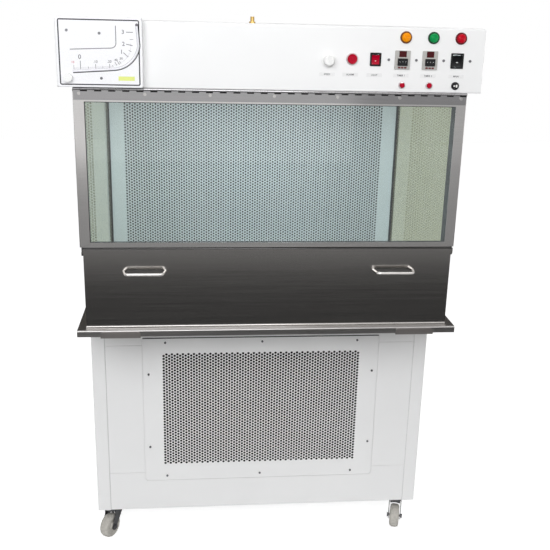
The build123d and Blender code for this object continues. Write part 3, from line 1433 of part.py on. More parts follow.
save(panel_handles, "panel_handles")
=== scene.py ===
"""Dresses a laminar flow bench: finishes for its solids, fine pieces and a studio."""

import json
import math
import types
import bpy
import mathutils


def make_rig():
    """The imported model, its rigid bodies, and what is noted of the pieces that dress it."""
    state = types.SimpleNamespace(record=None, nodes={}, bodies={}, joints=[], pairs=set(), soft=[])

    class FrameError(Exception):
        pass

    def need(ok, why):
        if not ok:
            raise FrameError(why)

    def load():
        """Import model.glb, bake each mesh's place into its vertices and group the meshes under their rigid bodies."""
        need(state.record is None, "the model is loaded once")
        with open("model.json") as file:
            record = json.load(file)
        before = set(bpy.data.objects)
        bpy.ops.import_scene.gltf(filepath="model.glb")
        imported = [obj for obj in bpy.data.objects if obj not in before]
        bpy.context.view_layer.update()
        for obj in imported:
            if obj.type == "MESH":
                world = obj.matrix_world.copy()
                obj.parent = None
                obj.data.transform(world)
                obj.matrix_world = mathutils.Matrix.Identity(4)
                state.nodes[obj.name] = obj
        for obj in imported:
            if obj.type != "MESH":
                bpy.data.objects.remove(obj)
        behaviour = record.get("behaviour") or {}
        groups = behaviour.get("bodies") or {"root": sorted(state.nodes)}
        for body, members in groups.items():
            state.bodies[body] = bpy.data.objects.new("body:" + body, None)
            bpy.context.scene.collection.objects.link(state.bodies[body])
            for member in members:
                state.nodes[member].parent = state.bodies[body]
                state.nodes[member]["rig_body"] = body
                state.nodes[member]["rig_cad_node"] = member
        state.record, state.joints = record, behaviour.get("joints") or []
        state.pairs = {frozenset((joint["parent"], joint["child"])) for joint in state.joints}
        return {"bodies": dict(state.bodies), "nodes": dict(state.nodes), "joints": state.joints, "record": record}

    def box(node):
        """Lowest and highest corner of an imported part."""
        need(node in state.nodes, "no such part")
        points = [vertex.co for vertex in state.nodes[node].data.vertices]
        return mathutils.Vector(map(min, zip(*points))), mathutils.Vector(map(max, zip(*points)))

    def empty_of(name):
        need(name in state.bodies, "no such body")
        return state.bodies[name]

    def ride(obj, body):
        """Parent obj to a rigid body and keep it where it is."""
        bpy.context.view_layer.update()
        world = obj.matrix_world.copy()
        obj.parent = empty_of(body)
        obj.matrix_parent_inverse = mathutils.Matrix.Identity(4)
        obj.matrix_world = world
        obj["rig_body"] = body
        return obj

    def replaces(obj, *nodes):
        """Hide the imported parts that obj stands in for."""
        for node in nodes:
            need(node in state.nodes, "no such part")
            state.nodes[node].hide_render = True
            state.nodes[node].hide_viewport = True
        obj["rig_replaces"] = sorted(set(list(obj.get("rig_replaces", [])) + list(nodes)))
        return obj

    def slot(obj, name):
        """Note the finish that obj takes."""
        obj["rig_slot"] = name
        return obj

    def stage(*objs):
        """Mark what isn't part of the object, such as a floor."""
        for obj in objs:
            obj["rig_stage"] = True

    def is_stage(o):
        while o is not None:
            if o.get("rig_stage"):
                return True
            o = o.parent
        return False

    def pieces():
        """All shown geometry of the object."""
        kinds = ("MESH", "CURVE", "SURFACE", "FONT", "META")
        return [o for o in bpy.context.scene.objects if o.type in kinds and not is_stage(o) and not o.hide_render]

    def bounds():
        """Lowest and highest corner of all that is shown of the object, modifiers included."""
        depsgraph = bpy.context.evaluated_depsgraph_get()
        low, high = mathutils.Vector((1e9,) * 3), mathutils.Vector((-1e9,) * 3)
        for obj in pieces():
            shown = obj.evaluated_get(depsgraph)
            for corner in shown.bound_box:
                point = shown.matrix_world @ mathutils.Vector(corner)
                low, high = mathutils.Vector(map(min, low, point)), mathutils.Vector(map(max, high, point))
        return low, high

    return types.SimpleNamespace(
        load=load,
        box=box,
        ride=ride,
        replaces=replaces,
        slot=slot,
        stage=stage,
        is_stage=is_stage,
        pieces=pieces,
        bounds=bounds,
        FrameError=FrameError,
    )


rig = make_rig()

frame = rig.load()
solid_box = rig.bounds()

import bmesh
import bpy
from bpy.props import FloatProperty, FloatVectorProperty, IntProperty, PointerProperty
from bpy.types import Operator, Panel, PropertyGroup
from mathutils import Matrix, Vector
from mathutils.geometry import delaunay_2d_cdt

bl_info = {
    "name": "Laminar Flow Bench",
    "version": (1, 0, 0),
    "blender": (4, 5, 0),
    "location": "View3D > Sidebar > Flow Bench",
    "description": "Finishes, perforated plates, controls and studio of a laminar flow bench",
    "category": "Object",
}

MM = 0.001
BENCH = "bench"

# ------------------------------------------------------------------ places read from the frame

FASCIA_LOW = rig.box("header_fascia")[0]
FASCIA_Y = FASCIA_LOW.y
HEADER_Z = FASCIA_LOW.z
CONTROL_ROW_Z = HEADER_Z + 80 * MM
LAMP_ROW_Z = HEADER_Z + 135 * MM
BUTTON_ROW_Z = HEADER_Z + 18 * MM
LABEL_ROW_Z = HEADER_Z + 41.5 * MM
MANOMETER_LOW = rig.box("manometer_body")[0]
FACE_Y = MANOMETER_LOW.y


# ------------------------------------------------------------------ sizes and colours


class FinishSettings(PropertyGroup):
    """Colours of the bench's own finishes."""

    enamel: FloatVectorProperty(
        name="Enamel",
        description="White stove enamel of the cabinet and the header",
        subtype="COLOR",
        default=(0.84, 0.84, 0.84),
    )
    # painted shade: darker and bluer than the white enamel that the chamber really has, standing in for the shade
    # inside the chamber
    chamber_enamel: FloatVectorProperty(
        name="Chamber enamel",
        description="Pale enamel of the diffuser plate and the inside of the chamber",
        subtype="COLOR",
        default=(0.60, 0.66, 0.675),
    )
    # stainless steel whose colour is darker than the window frame's: painted reflection, standing in for the dark room
    # that the panel mirrors
    panel_steel: FloatVectorProperty(
        name="Panel steel",
        description="Dark brushed stainless steel of the lower front panel",
        subtype="COLOR",
        default=(0.36, 0.347, 0.335),
    )
    frame_steel: FloatVectorProperty(
        name="Frame steel",
        description="Bright stainless steel of the window's frame",
        subtype="COLOR",
        default=(0.59, 0.577, 0.57),
    )
    worktop_steel: FloatVectorProperty(
        name="Worktop steel",
        description="Stainless steel of the worktop",
        subtype="COLOR",
        default=(0.34, 0.33, 0.325),
    )
    glass: FloatVectorProperty(
        name="Glass",
        description="What the window lets through",
        subtype="COLOR",
        default=(0.86, 0.90, 0.90),
    )
    side_glass: FloatVectorProperty(
        name="Side glass",
        description="What the green tinted side panes let through",
        subtype="COLOR",
        default=(0.68, 0.68, 0.57),
    )


class PerforationSettings(PropertyGroup):
    """Hole pattern shared by the intake panel and the diffuser plate."""

    pitch: FloatProperty(
        name="Pitch",
        description="Distance between the centres of neighbouring holes",
        unit="LENGTH",
        default=9.5 * MM,
    )
    intake_hole: FloatProperty(
        name="Intake hole",
        description="Diameter of one hole in the intake panel",
        unit="LENGTH",
        default=7.8 * MM,
    )
    diffuser_hole: FloatProperty(
        name="Diffuser hole",
        description="Diameter of one hole in the diffuser plate",
        unit="LENGTH",
        default=6.5 * MM,
    )
    intake_columns: IntProperty(
        name="Intake columns",
        description="Upright columns of holes in the intake panel",
        default=73,
    )
    intake_rows: IntProperty(
        name="Intake rows",
        description="Holes in each column of the intake panel",
        default=39,
    )
    diffuser_columns: IntProperty(
        name="Diffuser columns",
        description="Upright columns of holes in each half of the diffuser plate",
        default=52,
    )
    diffuser_rows: IntProperty(
        name="Diffuser rows",
        description="Holes in each column of the diffuser plate",
        default=59,
    )


class StudioSettings(PropertyGroup):
    """Camera and lights."""

    camera_place: FloatVectorProperty(
        name="Camera place",
        description="Where the camera stands",
        subtype="XYZ",
        unit="LENGTH",
        default=(-0.207, -2.518, 1.593),
    )
    pitch: FloatProperty(
        name="Pitch",
        description="How far the camera looks down",
        subtype="ANGLE",
        default=math.radians(17.09),
    )
    yaw: FloatProperty(
        name="Yaw",
        description="How far the camera is turned to the bench's right",
        subtype="ANGLE",
        default=math.radians(5.97),
    )
    roll: FloatProperty(
        name="Roll",
        description="How far the camera leans over",
        subtype="ANGLE",
        default=math.radians(1.39),
    )
    lens: FloatProperty(
        name="Lens",
        description="Focal length on a 36 mm sensor",
        default=53.74,
    )
    key_power: FloatProperty(
        name="Key power",
        description="Power of the large lamp in front of the bench",
        unit="POWER",
        default=54.0,
    )
    room_light: FloatProperty(
        name="Room light",
        description="Strength of the even light from all round",
        default=0.32,
    )


# ------------------------------------------------------------------ materials


class Graph:
    """A node tree while its nodes are joined up."""

    def __init__(self, tree):
        self.nodes = tree.nodes
        self.links = tree.links

    def feed(self, node, values):
        """Sets sockets to constants, or joins them to what other nodes put out."""
        for socket, value in values.items():
            if isinstance(value, bpy.types.NodeSocket):
                self.links.new(value, node.inputs[socket])
            else:
                node.inputs[socket].default_value = value
        return node

    def add(self, kind, values, output=0):
        """A new node's output."""
        return self.feed(self.nodes.new(kind), values).outputs[output]

    def math(self, operation, first, second):
        node = self.nodes.new("ShaderNodeMath")
        node.operation = operation
        return self.feed(node, {0: first, 1: second}).outputs[0]

    def mixed(self, share, first, second):
        return self.add("ShaderNodeMixShader", {0: share, 1: first, 2: second})


class Surface(Graph):
    """A procedural material while its nodes are joined up."""

    def __init__(self, name):
        self.material = bpy.data.materials.new(name)
        self.material.use_nodes = True
        super().__init__(self.material.node_tree)
        self.shader = self.nodes["Principled BSDF"]

    def finish(self, values):
        """Feeds the shader and hands over the finished material."""
        self.feed(self.shader, values)
        return self.material

    def place(self, stretch=(1.0, 1.0, 1.0)):
        """Object coordinates, stretched along each axis."""
        place = self.add("ShaderNodeTexCoord", {}, "Object")
        return self.add("ShaderNodeMapping", {"Vector": place, "Scale": stretch})

    def noise(self, place, scale, detail=3.0, roughness=0.5):
        values = {"Vector": place, "Scale": scale, "Detail": detail, "Roughness": roughness}
        return self.add("ShaderNodeTexNoise", values)

    def between(self, factor, low, high):
        """A number that runs from low to high with the factor."""
        values = {"Value": factor, "From Min": 0.3, "From Max": 0.7, "To Min": low, "To Max": high}
        return self.add("ShaderNodeMapRange", values)

    def shaded(self, factor, colour, dark, light):
        """The colour, varied between dark and light times itself."""
        ramp = self.nodes.new("ShaderNodeValToRGB")
        for stop, position, share in zip(ramp.color_ramp.elements, (0.3, 0.7), (dark, light)):
            stop.position = position
            stop.color = (*[min(part * share, 1) for part in colour], 1)
        return self.feed(ramp, {"Fac": factor}).outputs["Color"]

    def darker_above(self, clean, height, soft, share):
        """A colour that darkens above a height: painted shade, standing in for the shade that falls there."""
        place = self.add("ShaderNodeTexCoord", {}, "Object")
        rise = self.add("ShaderNodeSeparateXYZ", {"Vector": place}, "Z")
        values = {"Value": rise, "From Min": height - soft, "From Max": height}
        shade_mask = self.add("ShaderNodeMapRange", values)
        mix = self.nodes.new("ShaderNodeMix")
        mix.data_type = "RGBA"
        return self.feed(mix, {"Factor": shade_mask, 6: clean, 7: (share, share, share, 1)}).outputs[2]

    def bump(self, height, strength, distance):
        values = {"Height": height, "Strength": strength, "Distance": distance}
        self.feed(self.shader, {"Normal": self.add("ShaderNodeBump", values)})


def enamel(name, colour, gloss=0.32):
    """Stove enamel: a faint orange peel, and a little uneven in tone."""
    surface = Surface(name)
    place = surface.place()
    wear = surface.noise(place, 40.0, 5.0)
    surface.bump(surface.noise(place, 420.0), 0.12, 0.2 * MM)
    return surface.finish(
        {
            "Base Color": surface.shaded(surface.noise(place, 3.0), colour, 0.975, 1.015),
            "Roughness": surface.between(wear, gloss - 0.04, gloss + 0.08),
        }
    )


def brushed_steel(name, colour, stretch, gloss, contrast=0.18, relief=0.06, shade=None):
    """Stainless sheet with fine brush lines: stretch is small along the lines."""
    surface = Surface(name)
    lines = surface.noise(surface.place(stretch), 60.0, 8.0, 0.7)
    clouds = surface.noise(surface.place(), 4.0, 2.0)
    tone = surface.add("ShaderNodeMix", {"Factor": 0.45, "A": lines, "B": clouds})
    base = surface.shaded(tone, colour, 1 - contrast, 1 + contrast)
    surface.bump(lines, relief, 0.1 * MM)
    return surface.finish(
        {
            "Base Color": surface.darker_above(base, *shade) if shade else base,
            "Roughness": surface.between(lines, gloss - 0.04, gloss + 0.05),
            "Metallic": 1.0,
        }
    )


def bright_metal(name, colour, gloss):
    """Plated or turned metal with faint scuffs."""
    surface = Surface(name)
    scuffs = surface.noise(surface.place(), 220.0, 6.0, 0.65)
    return surface.finish(
        {
            "Base Color": surface.shaded(scuffs, colour, 0.88, 1.08),
            "Roughness": surface.between(scuffs, gloss - 0.05, gloss + 0.1),
            "Metallic": 1.0,
        }
    )


def moulded(name, colour, gloss, mirror=0.5):
    """Moulded plastic with a fine surface grain; mirror is its specular level."""
    surface = Surface(name)
    grain = surface.noise(surface.place(), 600.0, 2.0)
    surface.bump(grain, 0.08, 0.05 * MM)
    return surface.finish(
        {
            "Base Color": surface.shaded(grain, colour, 0.94, 1.05),
            "Roughness": surface.between(grain, gloss - 0.03, gloss + 0.06),
            "Specular IOR Level": mirror,
        }
    )


def lamp_lens(name, colour):
    """Ribbed translucent lens with a little of its own light."""
    surface = Surface(name)
    clouds = surface.noise(surface.place(), 300.0, 2.0)
    return surface.finish(
        {
            "Base Color": surface.shaded(clouds, colour, 0.85, 1.1),
            "Roughness": 0.16,
            "Specular IOR Level": 0.12,
            "Emission Color": (*colour, 1),
            "Emission Strength": 0.12,
            "Coat Weight": 0.06,
        }
    )


def pane(name, tint, gloss=0.02, smears=0.03):
    """Thin float glass: tinted, mirroring at a slant, with faint smears left by wiping."""
    surface = Surface(name)
    surface.nodes.remove(surface.shader)
    streaks = surface.noise(surface.place((1.0, 1.0, 0.35)), 7.0, 5.0)
    clear = surface.add("ShaderNodeBsdfTransparent", {"Color": (*tint, 1)})
    haze = surface.add("ShaderNodeBsdfDiffuse", {"Color": (0.7, 0.72, 0.72, 1)})
    polish = surface.between(streaks, gloss, gloss + 0.03)
    mirror = surface.add("ShaderNodeBsdfGlossy", {"Color": (1, 1, 1, 1), "Roughness": polish})
    slant = surface.add("ShaderNodeFresnel", {"IOR": 1.6})
    front = surface.math("SUBTRACT", 1.0, surface.add("ShaderNodeNewGeometry", {}, "Backfacing"))
    smeared = surface.mixed(surface.between(streaks, 0.0, smears), clear, haze)
    glazed = surface.mixed(surface.math("MULTIPLY", slant, front), smeared, mirror)
    surface.feed(surface.nodes["Material Output"], {"Surface": glazed})
    return surface.material


def fibre(name, colour, scale):
    """Matted fibre or pleated paper."""
    surface = Surface(name)
    threads = surface.noise(surface.place(), scale, 8.0, 0.8)
    surface.bump(threads, 0.5, 1.0 * MM)
    colours = surface.shaded(threads, colour, 0.7, 1.2)
    return surface.finish({"Base Color": colours, "Roughness": 0.95})


def rubber(name, colour, gloss=0.6):
    """Moulded rubber, dusty in its hollows."""
    surface = Surface(name)
    dust = surface.noise(surface.place(), 120.0, 6.0, 0.7)
    surface.bump(dust, 0.15, 0.2 * MM)
    return surface.finish(
        {
            "Base Color": surface.shaded(dust, colour, 0.8, 1.2),
            "Roughness": surface.between(dust, gloss - 0.08, gloss + 0.15),
        }
    )


ALONG_X = (0.05, 1.0, 12.0)
ALONG_TOP = (0.05, 1.0, 1.0)
NO_GRAIN = (1.0, 1.0, 1.0)
# height, soft edge and tone of the painted shade at the top of two steel sheets: in the window frame's hinge notches
# and along the lower panel's top edge
PANEL_SHADE = (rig.box("front_panel")[1].z - 1.6 * MM, 0.6 * MM, 0.02)
FRAME_SHADE = (HEADER_Z - 9.5 * MM, 1.5 * MM, 0.015)

# how each finish is made; a colour that is a name is one of FinishSettings' own
FINISHES = {
    "enamel": (enamel, "white_enamel", "enamel"),
    "chamber_enamel": (enamel, "chamber_enamel", "chamber_enamel"),
    "motor_paint": (enamel, "motor_paint", (0.06, 0.08, 0.10), 0.4),
    "panel_steel": (
        *(brushed_steel, "panel_steel", "panel_steel", ALONG_X, 0.16, 0.025, 0.02),
        PANEL_SHADE,
    ),
    "frame_steel": (
        *(brushed_steel, "frame_steel", "frame_steel", ALONG_X, 0.12, 0.10, 0.06),
        FRAME_SHADE,
    ),
    "worktop_steel": (brushed_steel, "worktop_steel", "worktop_steel", ALONG_TOP, 0.3, 0.06),
    # painted shade: the front frame's sill, seen in the gap between the window and the lower panel, is made near black
    # to stand in for the shade in that gap
    "sill_steel": (brushed_steel, "sill_steel", (0.10, 0.10, 0.10), ALONG_X, 0.3, 0.06),
    "hinge_steel": (brushed_steel, "hinge_steel", (0.34, 0.335, 0.34), ALONG_X, 0.11, 0.08),
    "bracket_steel": (brushed_steel, "bracket_steel", (0.30, 0.28, 0.27), ALONG_X, 0.4),
    "galvanised": (brushed_steel, "galvanised", (0.45, 0.46, 0.47), NO_GRAIN, 0.45),
    "filter_frame": (brushed_steel, "filter_frame", (0.5, 0.5, 0.5), NO_GRAIN, 0.4),
    "handle_chrome": (bright_metal, "handle_chrome", (0.62, 0.60, 0.58), 0.10),
    "hinge_screw": (bright_metal, "hinge_screw_plate", (0.50, 0.49, 0.48), 0.10),
    "key_silver": (bright_metal, "key_silver", (0.85, 0.84, 0.82), 0.3),
    "casing_screw": (bright_metal, "casing_screw_plate", (0.16, 0.16, 0.17), 0.35),
    "zinc": (bright_metal, "zinc_plate", (0.30, 0.30, 0.31), 0.32),
    "fork_steel": (bright_metal, "fork_steel", (0.13, 0.13, 0.135), 0.5),
    "dark_steel": (bright_metal, "dark_steel", (0.05, 0.05, 0.055), 0.2),
    "brass": (bright_metal, "turned_brass", (0.46, 0.31, 0.11), 0.28),
    "black_rubber": (rubber, "seal_rubber", (0.018, 0.020, 0.022)),
    "wheel_rubber": (rubber, "wheel_rubber", (0.50, 0.48, 0.44)),
    "window_glass": (pane, "window_glass", "glass"),
    "side_glass": (pane, "side_glass", "side_glass"),
    # dark grey foam, made near black as painted shade behind the intake panel's holes
    "prefilter": (fibre, "prefilter_foam", (0.006, 0.006, 0.007), 400.0),
    # painted shade: the filter paper is made near black, standing in for the shade behind the diffuser's holes
    "filter_paper": (fibre, "filter_paper", (0.030, 0.036, 0.038), 300.0),
    "tube_glass": (moulded, "tube_acrylic", (0.80, 0.80, 0.84), 0.08),
    "lamp_tube": (moulded, "lamp_tube", (0.85, 0.86, 0.85), 0.3),
    "white_plastic": (moulded, "white_plastic", (0.84, 0.84, 0.83), 0.28),
    "manometer_plastic": (moulded, "manometer_plastic", (0.84, 0.84, 0.86), 0.3),
    "black_plastic": (moulded, "black_plastic", (0.006, 0.006, 0.007), 0.35, 0.2),
    "grey_plastic": (moulded, "grey_plastic", (0.42, 0.41, 0.39), 0.45),
    "sealant": (moulded, "seam_sealant", (0.50, 0.50, 0.50), 0.5),
    "red_plastic": (moulded, "red_plastic", (0.42, 0.001, 0.020), 0.25, 0.12),
    "red_window": (moulded, "red_window", (0.06, 0.004, 0.006), 0.12, 0.25),
    "amber_ring": (moulded, "amber_ring", (0.17, 0.055, 0.006), 0.25, 0.25),
    "green_ring": (moulded, "green_ring", (0.004, 0.05, 0.018), 0.25, 0.25),
    "red_ring": (moulded, "red_ring", (0.12, 0.004, 0.008), 0.25, 0.25),
    "pale_ring": (moulded, "pale_ring", (0.66, 0.56, 0.57), 0.25),
    "ink": (moulded, "printing_ink", (0.030, 0.028, 0.036), 0.5),
    "grey_ink": (moulded, "grey_ink", (0.15, 0.14, 0.16), 0.5),
    "pale_ink": (moulded, "pale_ink", (0.36, 0.34, 0.38), 0.5),
    "red_ink": (moulded, "red_ink", (0.60, 0.16, 0.20), 0.5),
    "label_paper": (moulded, "label_paper", (0.78, 0.78, 0.78), 0.55),
    "yellow_label": (moulded, "yellow_label", (0.72, 0.78, 0.22), 0.5),
    "amber_lens": (lamp_lens, "amber_lens", (0.80, 0.27, 0.001)),
    "green_lens": (lamp_lens, "green_lens", (0.001, 0.25, 0.060)),
    "red_lens": (lamp_lens, "red_lens", (0.45, 0.001, 0.012)),
}
FINISHED = {}


def material(finish):
    """One of the bench's materials, made the first time that it is asked for."""
    if finish not in FINISHED:
        maker, name, colour, *values = FINISHES[finish]
        if isinstance(colour, str):
            colour = getattr(bpy.context.scene.bench_finish, colour)
        FINISHED[finish] = maker(name, colour, *values)
    return FINISHED[finish]


# how far each caster is turned, in degrees
CASTER_TURNS = {"front_left": -31, "front_right": -16, "back_left": 195, "back_right": 168}

SOLIDS = {
    "enamel": (
        *("cabinet_side_left", "cabinet_side_right", "cabinet_top_rail", "cabinet_bottom_rail"),
        *("infill_panels", "cabinet_back_panel", "base_pan", "intake_frame", "header_fascia"),
        *("header_cover", "plenum_shell", "plenum_back_panel"),
    ),
    "sill_steel": ("front_frame",),
    "chamber_enamel": ("chamber_ceiling", "light_fitting"),
    "lamp_tube": ("light_tube",),
    "casing_screw": ("casing_screws",),
    "prefilter": ("prefilter",),
    "galvanised": ("blower_housing", "blower_wheel"),
    "motor_paint": ("motor",),
    "worktop_steel": ("worktop",),
    "bracket_steel": ("worktop_brackets",),
    "side_glass": ("side_glass",),
    "black_rubber": ("chamber_seals",),
    "filter_frame": ("filter_frame",),
    "filter_paper": ("filter_pack",),
    "red_plastic": ("alarm_button", "reset_button_left", "reset_button_right", "light_rocker"),
    "black_plastic": ("main_rocker",),
    "dark_steel": ("key_plug",),
    "white_plastic": ("speed_knob", "manometer_knob"),
    "grey_plastic": ("timers",),
    "manometer_plastic": ("manometer_body",),
    "tube_glass": ("manometer_tube",),
    "brass": ("brass_spigot",),
    "frame_steel": ("window_frame",),
    "window_glass": ("window_glass",),
    "hinge_steel": ("window_hinge_leaf", "header_hinge_leaf", "hinge_pin"),
    "hinge_screw": ("hinge_screws",),
    "panel_steel": ("front_panel",),
    "handle_chrome": ("panel_handles",),
    "zinc": ("caster_plates",),
    "fork_steel": [f"caster_fork_{place}" for place in CASTER_TURNS],
    "wheel_rubber": [f"caster_wheel_{place}" for place in CASTER_TURNS],
}


# ------------------------------------------------------------------ mesh pieces


def keep_piece(mesh_object, finish, slot, body=BENCH, replaces=()):
    """Gives a piece its finish, slot and body."""
    mesh_object.data.materials.clear()
    mesh_object.data.materials.append(material(finish))
    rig.slot(mesh_object, slot)
    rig.ride(mesh_object, body)
    if replaces:
        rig.replaces(mesh_object, *replaces)
    return mesh_object


def object_from(builder, name):
    """Turns a bmesh into an object in the scene."""
    bmesh.ops.recalc_face_normals(builder, faces=builder.faces)
    mesh = bpy.data.meshes.new(name)
    builder.to_mesh(mesh)
    builder.free()
    made = bpy.data.objects.new(name, mesh)
    bpy.context.scene.collection.objects.link(made)
    return made


def add_block(builder, low, high):
    """A block between two corners."""
    made = bmesh.ops.create_cube(builder, size=1.0)["verts"]
    middle = (Vector(low) + Vector(high)) / 2
    size = Vector(high) - Vector(low)
    bmesh.ops.scale(builder, vec=size, verts=made)
    bmesh.ops.translate(builder, vec=middle, verts=made)
    return made


def block_piece(name, blocks, finish, slot, body=BENCH, edge=0.0):
    """A piece of blocks, each given as two corners, with its edges rounded or not."""
    builder = bmesh.new()
    for low, high in blocks:
        add_block(builder, low, high)
    made = object_from(builder, name)
    if edge:
        soften(made, edge)
    return keep_piece(made, finish, slot, body)


def add_lathe(builder, center, profile, segments=48):
    """Turns (radius, depth) pairs about an axis along Y through center."""
    edge_loop = []
    for radius, depth in profile:
        edge_loop.append(builder.verts.new(center + Vector((radius, depth, 0))))
    edges = [builder.edges.new(pair) for pair in zip(edge_loop, edge_loop[1:])]
    bmesh.ops.spin(
        builder,
        geom=edge_loop + edges,
        cent=center,
        axis=(0, 1, 0),
        angle=math.tau,
        steps=segments,
        use_merge=True,
    )
    bmesh.ops.remove_doubles(builder, verts=builder.verts, dist=1e-6)


def add_strip(builder, path, width, y):
    """A flat printed line of even width along (x, z) points, facing the user."""
    sides = []
    for index, point in enumerate(path):
        before = Vector(path[max(index - 1, 0)])
        after = Vector(path[min(index + 1, len(path) - 1)])
        along = (after - before).normalized()
        across = Vector((-along.y, along.x)) * width / 2
        here = Vector(point)
        pair = (here + across, here - across)
        sides.append([builder.verts.new((spot.x, y, spot.y)) for spot in pair])
    for (a, b), (c, d) in zip(sides, sides[1:]):
        builder.faces.new((a, b, d, c))


def printed_lines(name, lines, y, finish, slot="bezel_plastic", body=BENCH):
    """A print of flat lines, each given as a path and a width."""
    builder = bmesh.new()
    for path, width in lines:
        add_strip(builder, path, width, y)
    return keep_piece(object_from(builder, name), finish, slot, body)


def faced_front(mesh_object):
    """Turns a flat sheet's faces to the user."""
    if mesh_object.data.polygons[0].normal.y > 0:
        mesh_object.data.flip_normals()
    return mesh_object


def thicken(mesh_object, depth):
    """Gives a flat sheet its thickness, towards the back."""
    solidify = mesh_object.modifiers.new("thickness", "SOLIDIFY")
    solidify.thickness = depth
    solidify.offset = -1.0
    solidify.use_even_offset = False


def soften(mesh_object, radius, segments=2):
    """Rounds a piece's sharp edges and shades it smooth."""
    bevel = mesh_object.modifiers.new("soft_edges", "BEVEL")
    bevel.width = radius
    bevel.segments = segments
    bevel.limit_method = "ANGLE"
    bevel.angle_limit = math.radians(40)
    shade_smooth(mesh_object)


def shade_smooth(mesh_object, angle=35):
    """Shades smooth, except across edges sharper than the angle."""
    mesh = mesh_object.data
    mesh.shade_smooth()
    mesh.set_sharp_from_angle(angle=math.radians(angle))


# ------------------------------------------------------------------ perforated plates


def honeycomb(builder, center, columns, rows, hole, pitch, y):
    """Adjoining six-sided cells, each with a round hole, in staggered upright columns."""
    step = pitch * math.sqrt(3) / 2
    corner_radius = pitch / math.sqrt(3)
    corners = {}

    def corner(x, z):
        key = (round(x / MM * 100), round(z / MM * 100))
        if key not in corners:
            corners[key] = builder.verts.new((x, y, z))
        return corners[key]

    for column in range(columns):
        x = center[0] + (column - (columns - 1) / 2) * step
        rise = pitch / 2 if column % 2 else 0.0
        for row in range(rows):
            z = center[1] + (row - (rows - 0.5) / 2) * pitch + rise
            rim = []
            for part in range(12):
                angle = math.radians(30 * part)
                spot = (x + hole / 2 * math.cos(angle), y, z + hole / 2 * math.sin(angle))
                rim.append(builder.verts.new(spot))
            cell = []
            for part in range(6):
                angle = math.radians(60 * part)
                reach = corner_radius * math.cos(angle), corner_radius * math.sin(angle)
                cell.append(corner(x + reach[0], z + reach[1]))
            for part in range(6):
                ring = [cell[part], cell[(part + 1) % 6]]
                ring += [rim[(2 * part + 2) % 12], rim[2 * part + 1], rim[2 * part]]
                builder.faces.new(ring)


def rounded_outline(low, high, radius, steps=6):
    """Corner points (x, z) of a rectangle with rounded corners."""
    points = []
    centres = (
        (high[0] - radius, high[1] - radius, 0),
        (low[0] + radius, high[1] - radius, 90),
        (low[0] + radius, low[1] + radius, 180),
        (high[0] - radius, low[1] + radius, 270),
    )
    for x, z, start in centres:
        for step in range(steps + 1):
            angle = math.radians(start + 90 * step / steps)
            points.append((x + radius * math.cos(angle), z + radius * math.sin(angle)))
    return points


def circle_outline(x, z, radius, sides=16):
    turn = math.tau / sides
    angles = [turn * k for k in range(sides)]
    return [(x + radius * math.cos(angle), z + radius * math.sin(angle)) for angle in angles]


def closed_loop(builder, points, y):
    verts = [builder.verts.new((x, y, z)) for x, z in points]
    return [builder.edges.new((verts[k - 1], verts[k])) for k in range(len(verts))]


def crosses(start, end, spot):
    """Whether the edge from start to end passes to the right of the spot."""
    if (start.y > spot.y) == (end.y > spot.y):
        return False
    share = (spot.y - start.y) / (end.y - start.y)
    return start.x + share * (end.x - start.x) > spot.x


def fill_between(builder, edges):
    """Fills the flat sheet that an odd number of the edge loops surround."""
    verts = list(dict.fromkeys(vert for edge in edges for vert in edge.verts))
    number = {vert: index for index, vert in enumerate(verts)}
    spots = [Vector((vert.co.x, vert.co.z)) for vert in verts]
    lines = [tuple(number[vert] for vert in edge.verts) for edge in edges]
    inside_outline = 1
    flat, _, triangles, origins, _, _ = delaunay_2d_cdt(spots, lines, [], inside_outline, 1e-7)
    for triangle in triangles:
        middle = sum((flat[index] for index in triangle), Vector((0, 0))) / 3
        walls = sum(crosses(spots[a], spots[b], middle) for a, b in lines)
        if walls % 2:
            builder.faces.new([verts[origins[index][0]] for index in triangle])


def vert_at(builder, x, z):
    """The sheet's own corner nearest to a place."""
    return min(builder.verts, key=lambda vert: (vert.co.x - x) ** 2 + (vert.co.z - z) ** 2)


def open_outline(builder, points, y, seam):
    """Edges round a sheet that meets its other half along a zigzag seam of cells."""
    top, bottom = seam
    chain = [vert_at(builder, *top)]
    chain += [builder.verts.new((x, y, z)) for x, z in points]
    chain.append(vert_at(builder, *bottom))
    return [builder.edges.new(pair) for pair in zip(chain, chain[1:])]


def is_on_seam(edge, seam):
    top, bottom = seam
    middle = (edge.verts[0].co + edge.verts[1].co) / 2
    return abs(middle.x) < 0.1 * MM and bottom[1] < middle.z < top[1]


def perforated_sheet(name, outline, screw_holes, field, y, thickness, seam=None):
    """A sheet with a field of perforations inside a plain margin."""
    pitch = bpy.context.scene.bench_perforation.pitch
    builder = bmesh.new()
    honeycomb(builder, *field, pitch, y)
    cell_side = pitch / math.sqrt(3)
    border = [e for e in builder.edges if e.is_boundary and e.calc_length() > 0.9 * cell_side]
    if seam:
        border = [edge for edge in border if not is_on_seam(edge, seam)]
        border += open_outline(builder, outline, y, seam)
    else:
        border += closed_loop(builder, outline, y)
    for points in screw_holes:
        border += closed_loop(builder, points, y)
    fill_between(builder, border)
    made = faced_front(object_from(builder, name))
    thicken(made, thickness)
    return made


INTAKE_SHEET = 1.2 * MM
INTAKE_TOP_GAP = 3.2 * MM
# the panel's screw holes, in millimetres from its middle
INTAKE_SCREWS = [(x, z) for x in (-291, 0, 291) for z in (-224, 224)]
INTAKE_SCREWS += [(x, z) for x in (-342, 342) for z in (-122, 122)]
SEAM = 0.4 * MM


